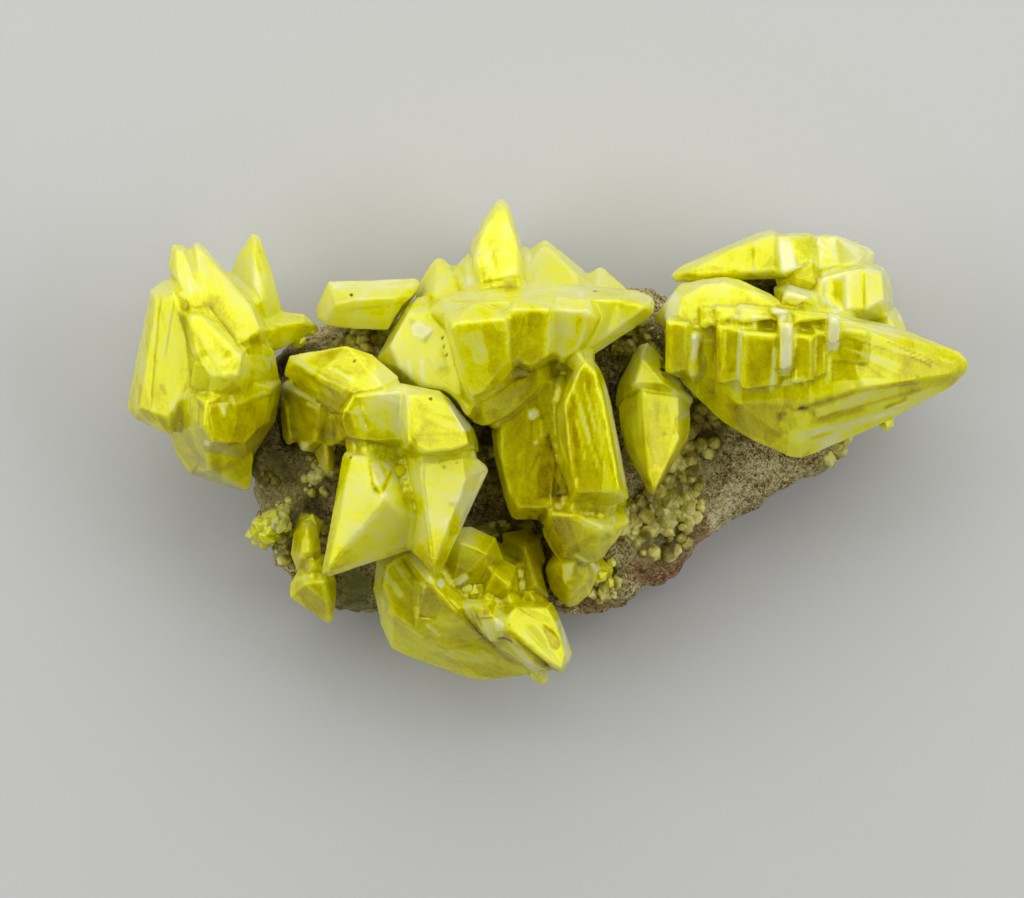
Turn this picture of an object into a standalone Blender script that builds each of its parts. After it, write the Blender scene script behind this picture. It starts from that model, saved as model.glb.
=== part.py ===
"""Native sulfur specimen: clusters of pale yellow crystals seated in a lump of grey host rock.

The specimen lies on the flat broken back of its rock, crystals upward. Plan positions are
read off a plan sheet in millimetres, x to the right and y up the sheet, and heights are
millimetres above the table. SHEET_ORIGIN is the point of the sheet under the part's origin.
"""

import bmesh
import bpy
from mathutils import Vector

MM = 0.001
SHEET_ORIGIN = (54.75, 45.8)
SEAT_GAP = 0.3  # clearance between a crystal and the rock or the crystal beside it

ROCK_RIM_HEIGHT = 5.0  # where the rock is widest
ROCK_BROW_INSET = 0.88  # plan size of the brow against the rim
ROCK_FOOT_INSET = 0.86  # plan size of the broken underside against the rim
ROCK_FOOT_DEPTH = 1.6  # how far the lumps ran below the break before it took them off
ROCK_CELL = 1.15  # grain of the rock's surface
ROCK_FACES = 3000
ROCK_SWELLS = (9, 3.4)  # size and height of its broad swells
ROCK_PITS = (2.6, 1.5)  # size and depth of its pits
SHEET_SIZE = (110, 100)

SULFUR_YELLOW = (0.83, 0.79, 0.09)
HOST_GREY = (0.36, 0.33, 0.27)

for old in list(bpy.data.objects):
    bpy.data.objects.remove(old)

specimen = bpy.data.collections.new("native_sulfur")
cutters = bpy.data.collections.new("cutters")
bpy.context.scene.collection.children.link(specimen)
bpy.context.scene.collection.children.link(cutters)


def finish(name, color, roughness):
    """A Principled material of one colour."""
    made = bpy.data.materials.new(name)
    made.use_nodes = True
    shader = made.node_tree.nodes["Principled BSDF"]
    shader.inputs["Base Color"].default_value = (*color, 1)
    shader.inputs["Roughness"].default_value = roughness
    shader.inputs["Metallic"].default_value = 0
    return made


sulfur = finish("sulfur", SULFUR_YELLOW, 0.2)
host = finish("host_rock", HOST_GREY, 0.9)


def on_part(x, y, z):
    """A point of the plan sheet, at height z, in the part's frame in metres."""
    return Vector((x - SHEET_ORIGIN[0], y - SHEET_ORIGIN[1], z)) * MM


def facet(height, dip, *corners):
    """Corners of one flat face: its height at the first corner and its rise along x and y."""
    first = corners[0]
    return [(x, y, height + dip[0] * (x - first[0]) + dip[1] * (y - first[1]))
            for x, y in corners]


def crystal(rim, crest, thickness, waist=0.55):
    """Corners of one crystal: its outline, the raised corners inside it, and its back.

    The back is the outline drawn in to the waist's share of its size and let down by the
    thickness, so that the crystal tapers towards its root."""
    middle = sum((Vector(corner) for corner in rim), Vector()) / len(rim)
    back = []
    for corner in rim:
        drawn_in = middle + (Vector(corner) - middle) * waist
        back.append((drawn_in.x, drawn_in.y, corner[2] - thickness))
    return [on_part(*corner) for corner in [*rim, *crest, *back]]


def solid_hull(name, points, collection):
    """The flat-faced convex solid with these corners."""
    shape = bmesh.new()
    corners = [shape.verts.new(point) for point in points]
    made = bmesh.ops.convex_hull(shape, input=corners)
    inside = {v for v in made["geom_interior"] + made["geom_unused"]
              if isinstance(v, bmesh.types.BMVert)}
    bmesh.ops.delete(shape, geom=list(inside), context="VERTS")
    bmesh.ops.recalc_face_normals(shape, faces=shape.faces)
    mesh = bpy.data.meshes.new(name)
    shape.to_mesh(mesh)
    shape.free()
    solid = bpy.data.objects.new(name, mesh)
    collection.objects.link(solid)
    if collection is cutters:
        solid.hide_render = True
        solid.display_type = "WIRE"
    return solid


def baked(solid):
    """Applies an object's modifiers, so that it can take part in the next Boolean."""
    graph = bpy.context.evaluated_depsgraph_get()
    mesh = bpy.data.meshes.new_from_object(solid.evaluated_get(graph))
    solid.modifiers.clear()
    solid.data = mesh
    return solid


def closed(mesh):
    """Whether every edge of a mesh has a face on both its sides."""
    shape = bmesh.new()
    shape.from_mesh(mesh)
    whole = all(edge.is_manifold for edge in shape.edges)
    shape.free()
    return whole


def combine(solid, other, operation):
    """Joins or cuts one solid with another, which is used up."""
    before = solid.data
    for solver in ("EXACT", "MANIFOLD"):
        solid.data = before
        step = solid.modifiers.new(operation.lower(), "BOOLEAN")
        step.object = other
        step.operation = operation
        step.solver = solver
        baked(solid)
        if closed(solid.data):
            break
    bpy.data.objects.remove(other)


def grown(points):
    """The same corners spread apart by the seat gap, for a socket that clears the crystal."""
    gap = SEAT_GAP * MM
    signs = (-gap, gap)
    return [point + Vector((dx, dy, dz))
            for point in points for dx in signs for dy in signs for dz in signs]


def cluster(name, crystals):
    """Crystals grown together, fused into one solid."""
    shapes = [crystal(*one) for one in crystals]
    solid = solid_hull(name, shapes[0], specimen)
    for points in shapes[1:]:
        combine(solid, solid_hull("part_of_" + name, points, cutters), "UNION")
    solid.data.materials.clear()
    solid.data.materials.append(sulfur)
    return solid, shapes


def clear_of(solid, shapes):
    """Cuts a solid back to the seat gap from crystals that it meets."""
    for points in shapes:
        combine(solid, solid_hull("socket", grown(points), cutters), "DIFFERENCE")


# Left cluster: a broad slab, two long blades above it and blunt crystals below, all
# overhanging the rock's left end. Each entry is outline, raised corners, thickness.
LEFT_CLUSTER = [
    # slab
    ([(15.0, 61.0, 17), (16.2, 62.0, 16), (17.3, 62.2, 17), (19.0, 59.0, 21),
      (19.6, 55.0, 22), (19.4, 51.4, 22), (17.2, 46.4, 19), (14.5, 47.6, 16),
      (13.2, 48.2, 15), (12.5, 49.3, 14)],
     facet(20.0, (0.62, 0), (15.6, 60.1), (17.4, 60.8), (18.9, 57.0), (18.9, 52.4),
           (16.9, 48.2), (14.0, 49.2)), 8),
    # thin blade at the upper left
    ([(17.1, 65.7, 15.6), (18.1, 65.6, 15.6), (18.6, 65.2, 16), (20.5, 60.5, 20.6),
      (21.8, 56.5, 23), (19.5, 58.0, 21.4), (17.2, 62.4, 17.4), (16.7, 63.4, 16.4)],
     facet(17.6, (0.2, -0.62), (17.5, 65.0), (18.3, 64.9), (20.2, 60.4), (20.9, 57.6),
           (19.4, 58.6), (17.5, 62.5)), 7),
    # long blade
    ([(19.0, 65.3, 15.6), (19.4, 65.9, 15.2), (19.9, 65.9, 15), (22.7, 62.6, 16),
      (25.5, 59.7, 17), (26.8, 57.0, 17), (26.2, 55.0, 18), (24.0, 53.8, 21),
      (21.5, 56.5, 23), (20.0, 60.5, 21)],
     facet(17.2, (0, -0.64), (19.5, 65.5), (20.0, 65.3), (25.1, 59.5), (26.1, 57.0),
           (23.6, 55.4), (21.4, 57.2), (20.0, 59.8), (19.5, 62.0)), 8),
    # middle crystal
    ([(18.3, 58.8, 21), (19.5, 59.5, 21), (22.5, 57.0, 23), (25.5, 56.0, 21),
      (27.4, 55.0, 17), (27.3, 52.8, 16), (27.9, 52.0, 16), (25.5, 49.5, 19),
      (21.0, 49.5, 23), (19.5, 51.0, 23)],
     facet(23.8, (0.25, -0.2), (19.2, 58.2), (20.3, 58.2), (21.8, 55.8), (24.2, 54.2),
           (23.6, 52.2), (21.4, 52.4), (20.0, 54.6)), 11),
    # lower crystal
    ([(17.2, 50.0, 19), (18.5, 51.0, 21), (20.8, 50.2, 24), (25.0, 51.8, 22),
      (28.1, 52.0, 16), (28.0, 50.5, 15), (27.4, 47.8, 14), (25.4, 44.7, 14),
      (24.5, 43.5, 14), (18.8, 42.6, 12), (17.6, 44.2, 13), (16.9, 46.3, 15)],
     facet(25.6, (-1.0, 0.15), (20.9, 49.8), (27.2, 51.2), (26.4, 47.6), (24.6, 45.8),
           (21.4, 45.9), (20.7, 47.4)), 9),
    # bottom crystal
    ([(18.0, 45.5, 15), (20.4, 46.0, 20), (23.5, 45.5, 19), (25.3, 44.5, 16),
      (24.8, 43.2, 14), (25.0, 41.2, 12), (24.5, 40.8, 11), (22.2, 41.6, 10),
      (20.6, 41.9, 10), (18.8, 42.6, 11)],
     [(20.6, 45.2, 21.5), (21.0, 43.0, 18)], 7),
    # spike behind
    ([(25.0, 66.8, 11), (25.6, 66.7, 11), (25.9, 66.2, 11.5), (27.2, 62.5, 13),
      (27.5, 60.5, 14), (28.1, 59.0, 13), (27.5, 56.5, 14), (24.5, 56.5, 15),
      (22.8, 60.0, 13), (22.9, 62.7, 12), (23.5, 64.5, 11.5), (24.3, 65.4, 11)],
     [(25.3, 66.2, 12.6), (24.2, 64.8, 12.6), (25.4, 61.5, 16.2), (26.2, 60.0, 17),
      (26.6, 62.4, 14.6)], 6),
    # small crystals that run onto the rock
    ([(26.2, 57.8, 15), (28.2, 58.9, 13), (30.3, 58.7, 13), (31.0, 58.0, 13),
      (31.8, 57.4, 13), (30.0, 56.2, 14), (28.3, 55.3, 15), (27.2, 54.9, 15),
      (26.2, 55.3, 16)],
     [(28.0, 57.5, 17), (30.2, 57.8, 15.5)], 6),
]

BACK_LEFT_CRYSTAL = [
    ([(32.8, 61.9, 15.6), (41.5, 62.2, 16), (42.0, 61.9, 16), (41.5, 60.0, 16.4),
      (40.0, 58.0, 16.5), (38.8, 57.0, 17), (37.5, 57.4, 17), (35.2, 57.1, 16.5),
      (32.5, 57.5, 15.5), (31.6, 58.2, 14.5), (31.6, 59.3, 14)],
     [(33.6, 59.6, 18), (35.4, 60.0, 18.8), (39.5, 60.2, 19), (41.0, 60.4, 17.6)], 8),
]

# Arm of three stout crystals across the middle, with two long points below it.
ARM_CLUSTER = [
    # upper end
    ([(28.3, 52.6, 19), (29.0, 54.4, 20), (34.7, 55.4, 23), (37.3, 54.5, 23.8),
      (40.0, 52.2, 25), (38.0, 49.5, 25), (34.5, 48.8, 23.6), (33.0, 49.2, 22.6)],
     [(29.5, 53.9, 21.4), (32.0, 52.4, 23.8), (35.6, 50.8, 25.9), (38.4, 51.3, 26.6),
      (36.0, 50.0, 25.9)], 10),
    # hip
    ([(33.3, 48.8, 19), (35.5, 51.0, 24), (40.0, 51.5, 25), (41.5, 50.5, 26),
      (42.0, 47.0, 25), (40.5, 45.0, 22), (39.5, 45.3, 21), (37.5, 45.1, 20),
      (35.2, 45.3, 19), (33.5, 45.6, 18)],
     facet(26.2, (0.15, 0.25), (35.4, 50.3), (39.8, 50.8), (41.0, 46.2), (37.6, 45.9),
           (34.8, 46.4), (34.2, 48.2)), 9),
    # knee
    ([(39.5, 51.8, 24), (42.3, 51.0, 25), (44.0, 50.9, 24), (45.0, 50.1, 23),
      (47.4, 47.1, 20), (47.8, 46.0, 19), (47.9, 44.8, 19), (46.5, 44.6, 22),
      (42.5, 44.0, 24), (40.2, 45.0, 24)],
     facet(28.2, (-0.38, -0.2), (40.8, 50.4), (43.2, 50.4), (44.7, 49.7), (46.5, 47.0),
           (46.8, 45.6), (45.2, 45.0), (42.2, 44.8), (41.0, 45.8)), 10),
    # left point
    ([(34.4, 44.7, 22.4), (35.0, 45.0, 22.4), (37.8, 44.9, 22.4), (39.8, 43.5, 22.6),
      (41.5, 41.0, 22), (43.0, 36.5, 20.4), (41.0, 35.0, 20), (37.4, 33.9, 20),
      (33.1, 32.4, 21.4), (32.2, 32.6, 21.4), (32.5, 34.0, 21.4)],
     [(36.8, 44.4, 24.8), (37.2, 42.0, 25.3), (38.7, 39.9, 25.6), (32.9, 33.2, 23),
      (35.2, 44.4, 24)], 8),
    # right point
    ([(40.3, 44.5, 22), (42.0, 44.3, 24), (46.5, 44.7, 23), (48.5, 43.8, 21),
      (48.9, 43.0, 20.5), (47.0, 39.0, 20.5), (45.2, 35.2, 21), (44.1, 32.8, 21.5),
      (43.6, 32.4, 21.5), (43.0, 33.4, 21.5), (41.0, 35.0, 20), (40.2, 38.0, 20)],
     [(42.2, 43.4, 26.4), (43.4, 33.4, 24.6), (46.3, 44.2, 24.4), (46.6, 42.0, 24.2)], 8),
    # small blades tucked under the upper end
    ([(28.1, 51.7, 14), (30.4, 53.0, 17), (34.0, 50.6, 20), (33.4, 47.5, 18),
      (33.5, 45.0, 16), (31.0, 44.8, 15), (30.0, 45.0, 15), (29.5, 46.3, 14),
      (28.8, 49.0, 14)],
     [(29.8, 50.8, 18.5), (32.0, 49.4, 20), (31.5, 46.0, 18.5)], 6),
    ([(30.8, 46.2, 15), (33.4, 46.5, 16), (33.4, 43.2, 15), (33.1, 42.8, 15),
      (32.5, 42.8, 15), (31.9, 43.5, 15)],
     [(32.6, 45.4, 18), (32.8, 43.4, 16.5)], 5),
    ([(28.0, 50.5, 13), (29.9, 50.4, 15), (30.3, 46.3, 14.5), (29.1, 45.6, 13.5),
      (28.6, 45.5, 13), (28.2, 46.2, 13), (27.9, 48.5, 13)],
     [(28.6, 49.0, 15.5), (28.9, 46.3, 15)], 6),
]

LOWER_LEFT_TABLET = [
    ([(25.2, 37.5, 9), (26.2, 38.2, 10), (28.5, 38.5, 11), (29.0, 38.0, 11), (28.4, 37.0, 11),
      (26.2, 35.2, 8.5), (25.5, 35.5, 8), (25.0, 36.0, 8)],
     [(26.6, 37.6, 12), (27.8, 37.8, 12.5), (26.2, 36.2, 10.5)], 5),
]

LOWER_LEFT_POINTS = [
    # upper body
    ([(30.0, 37.8, 12), (31.0, 38.0, 12.5), (31.7, 37.2, 13), (32.0, 35.0, 13),
      (31.8, 33.0, 12), (29.6, 32.6, 11), (28.9, 34.5, 10.5), (29.2, 36.6, 11)],
     [(30.6, 37.2, 14.5), (31.1, 34.8, 15), (29.9, 34.4, 14)], 7),
    # hanging point
    ([(28.9, 31.6, 11), (28.8, 30.2, 11), (29.5, 29.7, 11), (31.0, 29.5, 11), (32.0, 28.5, 11),
      (32.7, 27.5, 11), (33.2, 28.0, 11), (33.5, 30.0, 11.5), (33.5, 32.0, 12),
      (32.6, 33.0, 12.5), (30.0, 33.4, 12)],
     [(30.4, 31.6, 14.2), (32.4, 31.8, 14.5), (32.6, 29.6, 13.6)], 6),
    # tooth between them
    ([(29.4, 34.8, 11), (31.0, 35.2, 12), (32.4, 34.4, 12), (33.4, 32.2, 11.5),
      (32.2, 31.4, 11), (29.8, 31.6, 11)],
     [(31.4, 33.4, 15.2)], 6),
]

LOWER_CLUSTER = [
    # long crystal along the bottom edge
    ([(37.6, 34.0, 12), (37.2, 31.0, 11), (37.9, 28.8, 10), (38.0, 27.4, 9.5),
      (39.0, 25.0, 9), (40.7, 24.2, 9), (44.0, 23.0, 9), (47.0, 21.9, 9), (48.5, 21.8, 9),
      (50.8, 22.7, 10), (53.0, 22.3, 10), (53.2, 23.6, 12), (49.0, 27.0, 15),
      (45.2, 31.0, 17), (43.2, 33.4, 17), (40.8, 35.2, 16)],
     facet(15.8, (0.1, 0.4), (38.3, 31.4), (38.7, 33.4), (40.8, 34.7), (43.4, 32.4),
           (46.4, 28.2), (47.4, 25.8), (44.6, 25.4), (41.6, 27.0), (39.4, 28.6)), 7),
    # shingled crystals on its flank
    ([(40.4, 34.9, 16), (43.4, 33.0, 18), (46.4, 29.6, 17), (48.4, 26.2, 15),
      (44.0, 24.6, 12.5), (41.4, 26.6, 14)],
     [(42.6, 32.2, 19.6), (45.6, 28.8, 18.6)], 6),
    ([(45.0, 30.2, 15), (46.4, 29.6, 17), (49.0, 30.0, 18), (50.0, 29.0, 18),
      (52.0, 26.0, 17), (54.6, 23.0, 15), (53.6, 22.6, 12.5), (50.0, 24.2, 12),
      (47.0, 26.4, 13)],
     [(48.6, 29.2, 20), (50.0, 27.6, 20), (53.6, 23.6, 16.6)], 7),
    # flat-faced plate at the right end
    ([(50.5, 29.5, 15), (51.5, 29.9, 15), (53.0, 29.7, 15), (55.2, 29.7, 14),
      (56.0, 28.2, 14), (56.6, 26.5, 14), (57.3, 24.5, 14), (56.7, 23.3, 14),
      (56.5, 22.7, 14), (56.0, 22.4, 14), (54.0, 24.0, 15), (50.8, 26.5, 16)],
     facet(18.8, (-0.34, -0.2), (50.8, 28.2), (51.6, 29.3), (54.7, 29.2), (55.6, 27.6),
           (56.5, 24.7), (56.1, 23.1), (54.0, 24.3), (51.0, 26.8)), 8),
    # nub
    ([(53.0, 22.4, 11), (53.4, 21.6, 11), (54.4, 21.3, 11), (54.9, 22.0, 11),
      (54.7, 23.2, 12), (53.4, 23.4, 12)],
     [(54.0, 22.2, 13.2)], 4),
    # blocks behind, in the shade of the points above
    ([(43.0, 34.0, 15), (44.6, 37.0, 16), (47.0, 37.4, 16), (49.6, 36.2, 16),
      (50.4, 34.0, 15), (48.6, 31.6, 15), (45.2, 31.0, 16)],
     [(46.2, 35.6, 18.4), (48.6, 34.6, 18)], 8),
    ([(48.0, 33.4, 14), (50.0, 34.2, 14.5), (51.6, 33.4, 14), (52.0, 30.6, 13.5),
      (50.4, 29.2, 14), (48.0, 29.8, 15)],
     [(49.4, 32.6, 17), (51.0, 31.4, 16.6)], 8),
    ([(50.2, 36.6, 11), (52.8, 37.2, 11.5), (54.0, 36.2, 12), (54.8, 33.0, 12),
      (55.0, 30.4, 12), (53.4, 29.0, 12), (50.8, 30.0, 12)],
     [(52.6, 35.0, 13.6), (53.6, 31.4, 14)], 7),
]

CENTRE_CLUSTER = [
    # tall point at the top, and the shoulder on its left
    ([(45.2, 62.6, 14), (45.5, 63.4, 14), (46.5, 64.5, 14), (47.1, 65.0, 14),
      (48.6, 63.6, 14), (48.0, 60.0, 16), (45.6, 60.0, 16)],
     [(46.6, 63.6, 17), (47.6, 63.2, 18), (46.8, 61.4, 19)], 7),
    ([(46.9, 64.4, 14), (47.0, 65.6, 14), (47.9, 67.2, 13.5), (48.3, 68.2, 13),
      (49.0, 69.2, 13), (49.7, 70.1, 13), (50.2, 70.3, 13), (50.8, 69.9, 13),
      (51.6, 67.5, 13.5), (52.1, 65.8, 14), (52.4, 64.7, 14.5), (53.4, 61.0, 16),
      (50.0, 58.0, 18), (46.8, 59.5, 16)],
     facet(15.2, (0, -0.72), (50.0, 69.6), (50.7, 69.3), (51.8, 65.4), (51.9, 62.6),
           (48.2, 61.8), (47.4, 64.0), (48.2, 67.0)), 9),
    # pointed neighbour to its left
    ([(41.4, 60.4, 13), (42.0, 62.0, 13), (43.0, 63.6, 13), (43.5, 64.2, 13),
      (44.0, 64.3, 13), (44.5, 64.0, 13.5), (45.2, 63.3, 14), (47.0, 61.6, 16),
      (46.6, 58.4, 17), (42.4, 58.0, 16)],
     [(43.8, 63.5, 15), (44.3, 63.4, 15.2), (43.4, 60.4, 19.4), (45.8, 60.6, 19.6),
      (45.6, 62.0, 17.8)], 8),
    # pair to its right
    ([(51.6, 63.4, 14), (52.4, 64.7, 13), (53.0, 65.1, 13), (53.8, 65.8, 12.5),
      (54.5, 66.2, 12.5), (55.1, 65.8, 12.5), (56.0, 64.8, 13), (58.2, 63.3, 13),
      (59.6, 61.6, 14), (57.6, 59.4, 18), (52.4, 60.0, 18)],
     facet(14.8, (0, -1.0), (54.2, 65.3), (54.8, 65.3), (57.6, 62.6), (57.8, 61.2),
           (53.6, 61.0), (53.0, 63.6)), 8),
    ([(58.0, 61.8, 13), (58.8, 62.7, 12.5), (60.0, 63.4, 12.5), (60.4, 63.3, 12.5),
      (60.9, 62.4, 13), (61.8, 61.7, 13), (62.6, 61.2, 14), (63.4, 60.6, 15),
      (61.6, 59.0, 17), (57.6, 59.6, 17)],
     [(60.1, 62.8, 14.2), (59.6, 61.0, 18.4), (61.2, 60.4, 18.2)], 7),
    # long fan across the top, pointing right
    ([(41.8, 59.0, 18), (44.0, 60.6, 19), (49.0, 61.4, 20), (56.4, 61.6, 19),
      (63.6, 61.0, 18), (65.2, 60.3, 19), (65.5, 59.8, 19.4), (65.4, 58.8, 20),
      (64.8, 58.1, 20.4), (63.2, 57.0, 21), (61.5, 55.9, 21.4), (59.2, 54.4, 22),
      (54.0, 53.4, 23), (46.4, 55.0, 23)],
     facet(27.6, (-0.22, 0.1), (45.2, 58.4), (48.6, 59.6), (56.0, 60.0), (62.0, 59.9),
           (64.6, 59.3), (60.6, 56.3), (58.8, 55.3), (54.0, 54.6), (47.0, 55.8)), 9),
    # hanging faces under the fan
    ([(44.2, 58.4, 25.4), (45.0, 55.4, 25), (45.6, 53.4, 25), (46.4, 51.0, 24.6),
      (47.0, 49.8, 25), (48.0, 50.0, 25.4), (50.0, 51.4, 26.4), (51.3, 53.0, 27),
      (51.4, 56.0, 28), (50.6, 58.6, 28.6), (47.6, 59.6, 28)],
     facet(29.6, (0.1, 0.35), (45.0, 57.4), (50.6, 57.9), (50.8, 54.0), (48.0, 50.7),
           (47.2, 50.4), (46.3, 52.8)), 8),
    ([(50.4, 58.8, 28), (50.7, 55.4, 26.8), (51.4, 53.4, 25.4), (52.2, 53.0, 25),
      (53.2, 52.8, 25), (54.6, 53.5, 25.2), (55.2, 54.6, 26), (55.6, 58.0, 27),
      (54.8, 59.8, 27.6), (51.6, 60.0, 28)],
     facet(29.8, (0, 0.4), (51.2, 58.9), (54.9, 58.9), (54.8, 54.5), (53.2, 53.4),
           (52.2, 53.6), (51.5, 54.3)), 8),
    ([(54.6, 58.8, 27), (55.0, 54.4, 25.4), (56.2, 53.5, 24.8), (57.4, 54.1, 24.4),
      (58.4, 55.0, 24.4), (59.8, 58.0, 25), (59.0, 60.0, 26), (55.6, 60.2, 27)],
     facet(28.4, (-0.15, 0.4), (55.5, 58.9), (59.0, 58.6), (57.8, 55.3), (57.2, 54.7),
           (56.2, 54.2), (55.5, 54.9)), 8),
    # ledge below the hanging faces
    ([(46.6, 50.4, 22), (47.2, 47.8, 21), (48.4, 47.2, 21.2), (51.0, 48.6, 22.4),
      (54.8, 51.8, 22.8), (55.2, 54.0, 22.5), (51.6, 53.8, 23), (48.6, 51.6, 23)],
     [(48.4, 49.8, 23.8), (51.8, 51.6, 24.2), (53.8, 53.0, 23.9)], 7),
    # slab to the left of the fan
    ([(37.6, 54.1, 16), (38.3, 55.5, 15.5), (39.2, 57.2, 15.5), (40.5, 59.4, 16),
      (41.8, 60.4, 16.5), (44.6, 59.8, 19), (46.2, 55.0, 21), (48.4, 50.0, 21),
      (48.0, 47.6, 19), (46.0, 47.4, 17), (43.0, 49.0, 17), (39.6, 52.2, 17)],
     facet(20.2, (0.35, -0.1), (39.0, 55.4), (40.8, 58.6), (43.8, 58.8), (45.6, 54.4),
           (47.6, 49.8), (46.8, 48.5), (43.4, 50.4), (39.9, 53.2)), 7),
    # slab under the ledge
    ([(49.2, 49.6, 19.5), (49.8, 46.8, 19.5), (49.2, 46.2, 19), (49.4, 44.5, 18.6),
      (50.0, 42.0, 18), (50.4, 40.2, 17.6), (51.1, 38.3, 17), (51.6, 38.0, 17),
      (54.4, 38.0, 17.4), (57.0, 39.4, 17.6), (57.4, 46.0, 18.6), (56.4, 52.8, 21),
      (52.0, 53.0, 21.6)],
     facet(21.6, (0.12, 0.2), (50.3, 48.9), (50.1, 46.4), (50.1, 44.5), (50.9, 40.8),
           (51.9, 39.3), (55.0, 39.3), (55.6, 46.0), (55.2, 51.8), (51.6, 51.8)), 11),
    # striated prism
    ([(55.2, 47.4, 20.4), (55.3, 49.0, 20.8), (56.4, 52.2, 22), (57.4, 54.2, 23),
      (58.2, 54.9, 23), (59.2, 54.2, 23), (60.0, 53.0, 22.6), (60.4, 52.0, 22.2),
      (61.0, 50.0, 21.8), (61.8, 46.0, 21.2), (62.5, 42.5, 20.6), (62.9, 40.2, 20.4),
      (62.2, 39.5, 20.6), (60.0, 39.6, 21), (57.0, 39.8, 21), (56.3, 42.5, 20.6),
      (55.6, 45.0, 20.4)],
     facet(25.2, (0.12, 0.15), (56.4, 49.4), (57.9, 53.1), (58.5, 53.7), (59.5, 52.7),
           (60.3, 50.0), (61.5, 43.4), (61.9, 40.9), (57.6, 40.9), (56.9, 44.6)), 13),
    # crystal below the prism
    ([(53.9, 39.4, 16), (57.0, 40.0, 17), (60.0, 39.8, 17), (62.2, 39.5, 17),
      (62.8, 38.5, 17.4), (63.0, 37.8, 17.6), (62.0, 36.5, 17.6), (61.0, 35.5, 17.4),
      (60.4, 34.3, 17), (59.6, 33.8, 17), (56.0, 33.8, 17), (55.3, 34.8, 17),
      (54.5, 36.0, 17.2), (54.0, 38.0, 17)],
     [(54.9, 38.7, 20.4), (57.4, 38.5, 21.4), (60.0, 37.2, 21.4), (61.6, 37.2, 19.4),
      (59.6, 35.0, 19), (56.6, 35.0, 18.8)], 12),
    # hanging stub
    ([(55.3, 34.6, 13.5), (54.5, 33.0, 12.5), (55.0, 31.0, 12), (56.0, 29.9, 12),
      (56.8, 29.2, 12), (57.5, 29.2, 12), (59.0, 30.5, 12), (59.7, 32.0, 12.5),
      (59.8, 33.4, 13), (58.8, 34.8, 15), (57.2, 35.2, 16)],
     [(56.0, 33.8, 17), (57.4, 33.8, 17.4), (57.0, 30.6, 14.6), (58.6, 32.2, 15.2)], 9),
    ([(59.2, 33.4, 10), (60.3, 34.1, 10.5), (61.5, 33.0, 10), (61.2, 32.2, 9.5),
      (60.3, 31.8, 9.5), (59.2, 32.2, 10)],
     [(60.3, 33.1, 12)], 5),
]

ARROW_CRYSTAL = [
    # shoulder
    ([(61.5, 49.4, 15), (61.6, 50.4, 15), (61.9, 51.7, 16), (62.7, 53.0, 17),
      (63.3, 54.5, 17), (64.0, 55.5, 17), (64.8, 55.8, 17), (66.0, 54.6, 17.4),
      (67.4, 52.4, 18), (68.6, 50.9, 18), (69.4, 50.1, 17), (69.0, 49.0, 16.6),
      (63.0, 48.0, 16)],
     [(64.2, 54.2, 19.4), (63.4, 51.6, 20.4), (66.4, 51.6, 20.8), (68.0, 50.6, 19.6)], 8),
    # blade
    ([(61.9, 49.4, 17), (62.0, 47.5, 17), (62.5, 46.0, 17.4), (62.7, 44.8, 17.6),
      (63.3, 43.8, 18), (64.0, 42.5, 18.6), (64.6, 41.2, 19), (65.2, 40.5, 19.2),
      (65.6, 40.7, 19.2), (66.2, 41.8, 19), (67.0, 43.5, 18.4), (67.8, 45.0, 18),
      (68.2, 45.9, 17.6), (68.8, 46.2, 17.4), (69.1, 47.5, 17), (69.0, 49.2, 17),
      (68.4, 50.6, 18), (64.0, 52.0, 19)],
     facet(20.4, (-0.16, -0.24), (64.2, 50.7), (67.8, 50.3), (67.2, 48.5), (67.8, 46.1),
           (66.5, 43.3), (65.4, 41.1), (64.9, 42.4), (64.5, 46.0)), 8),
]

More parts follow.
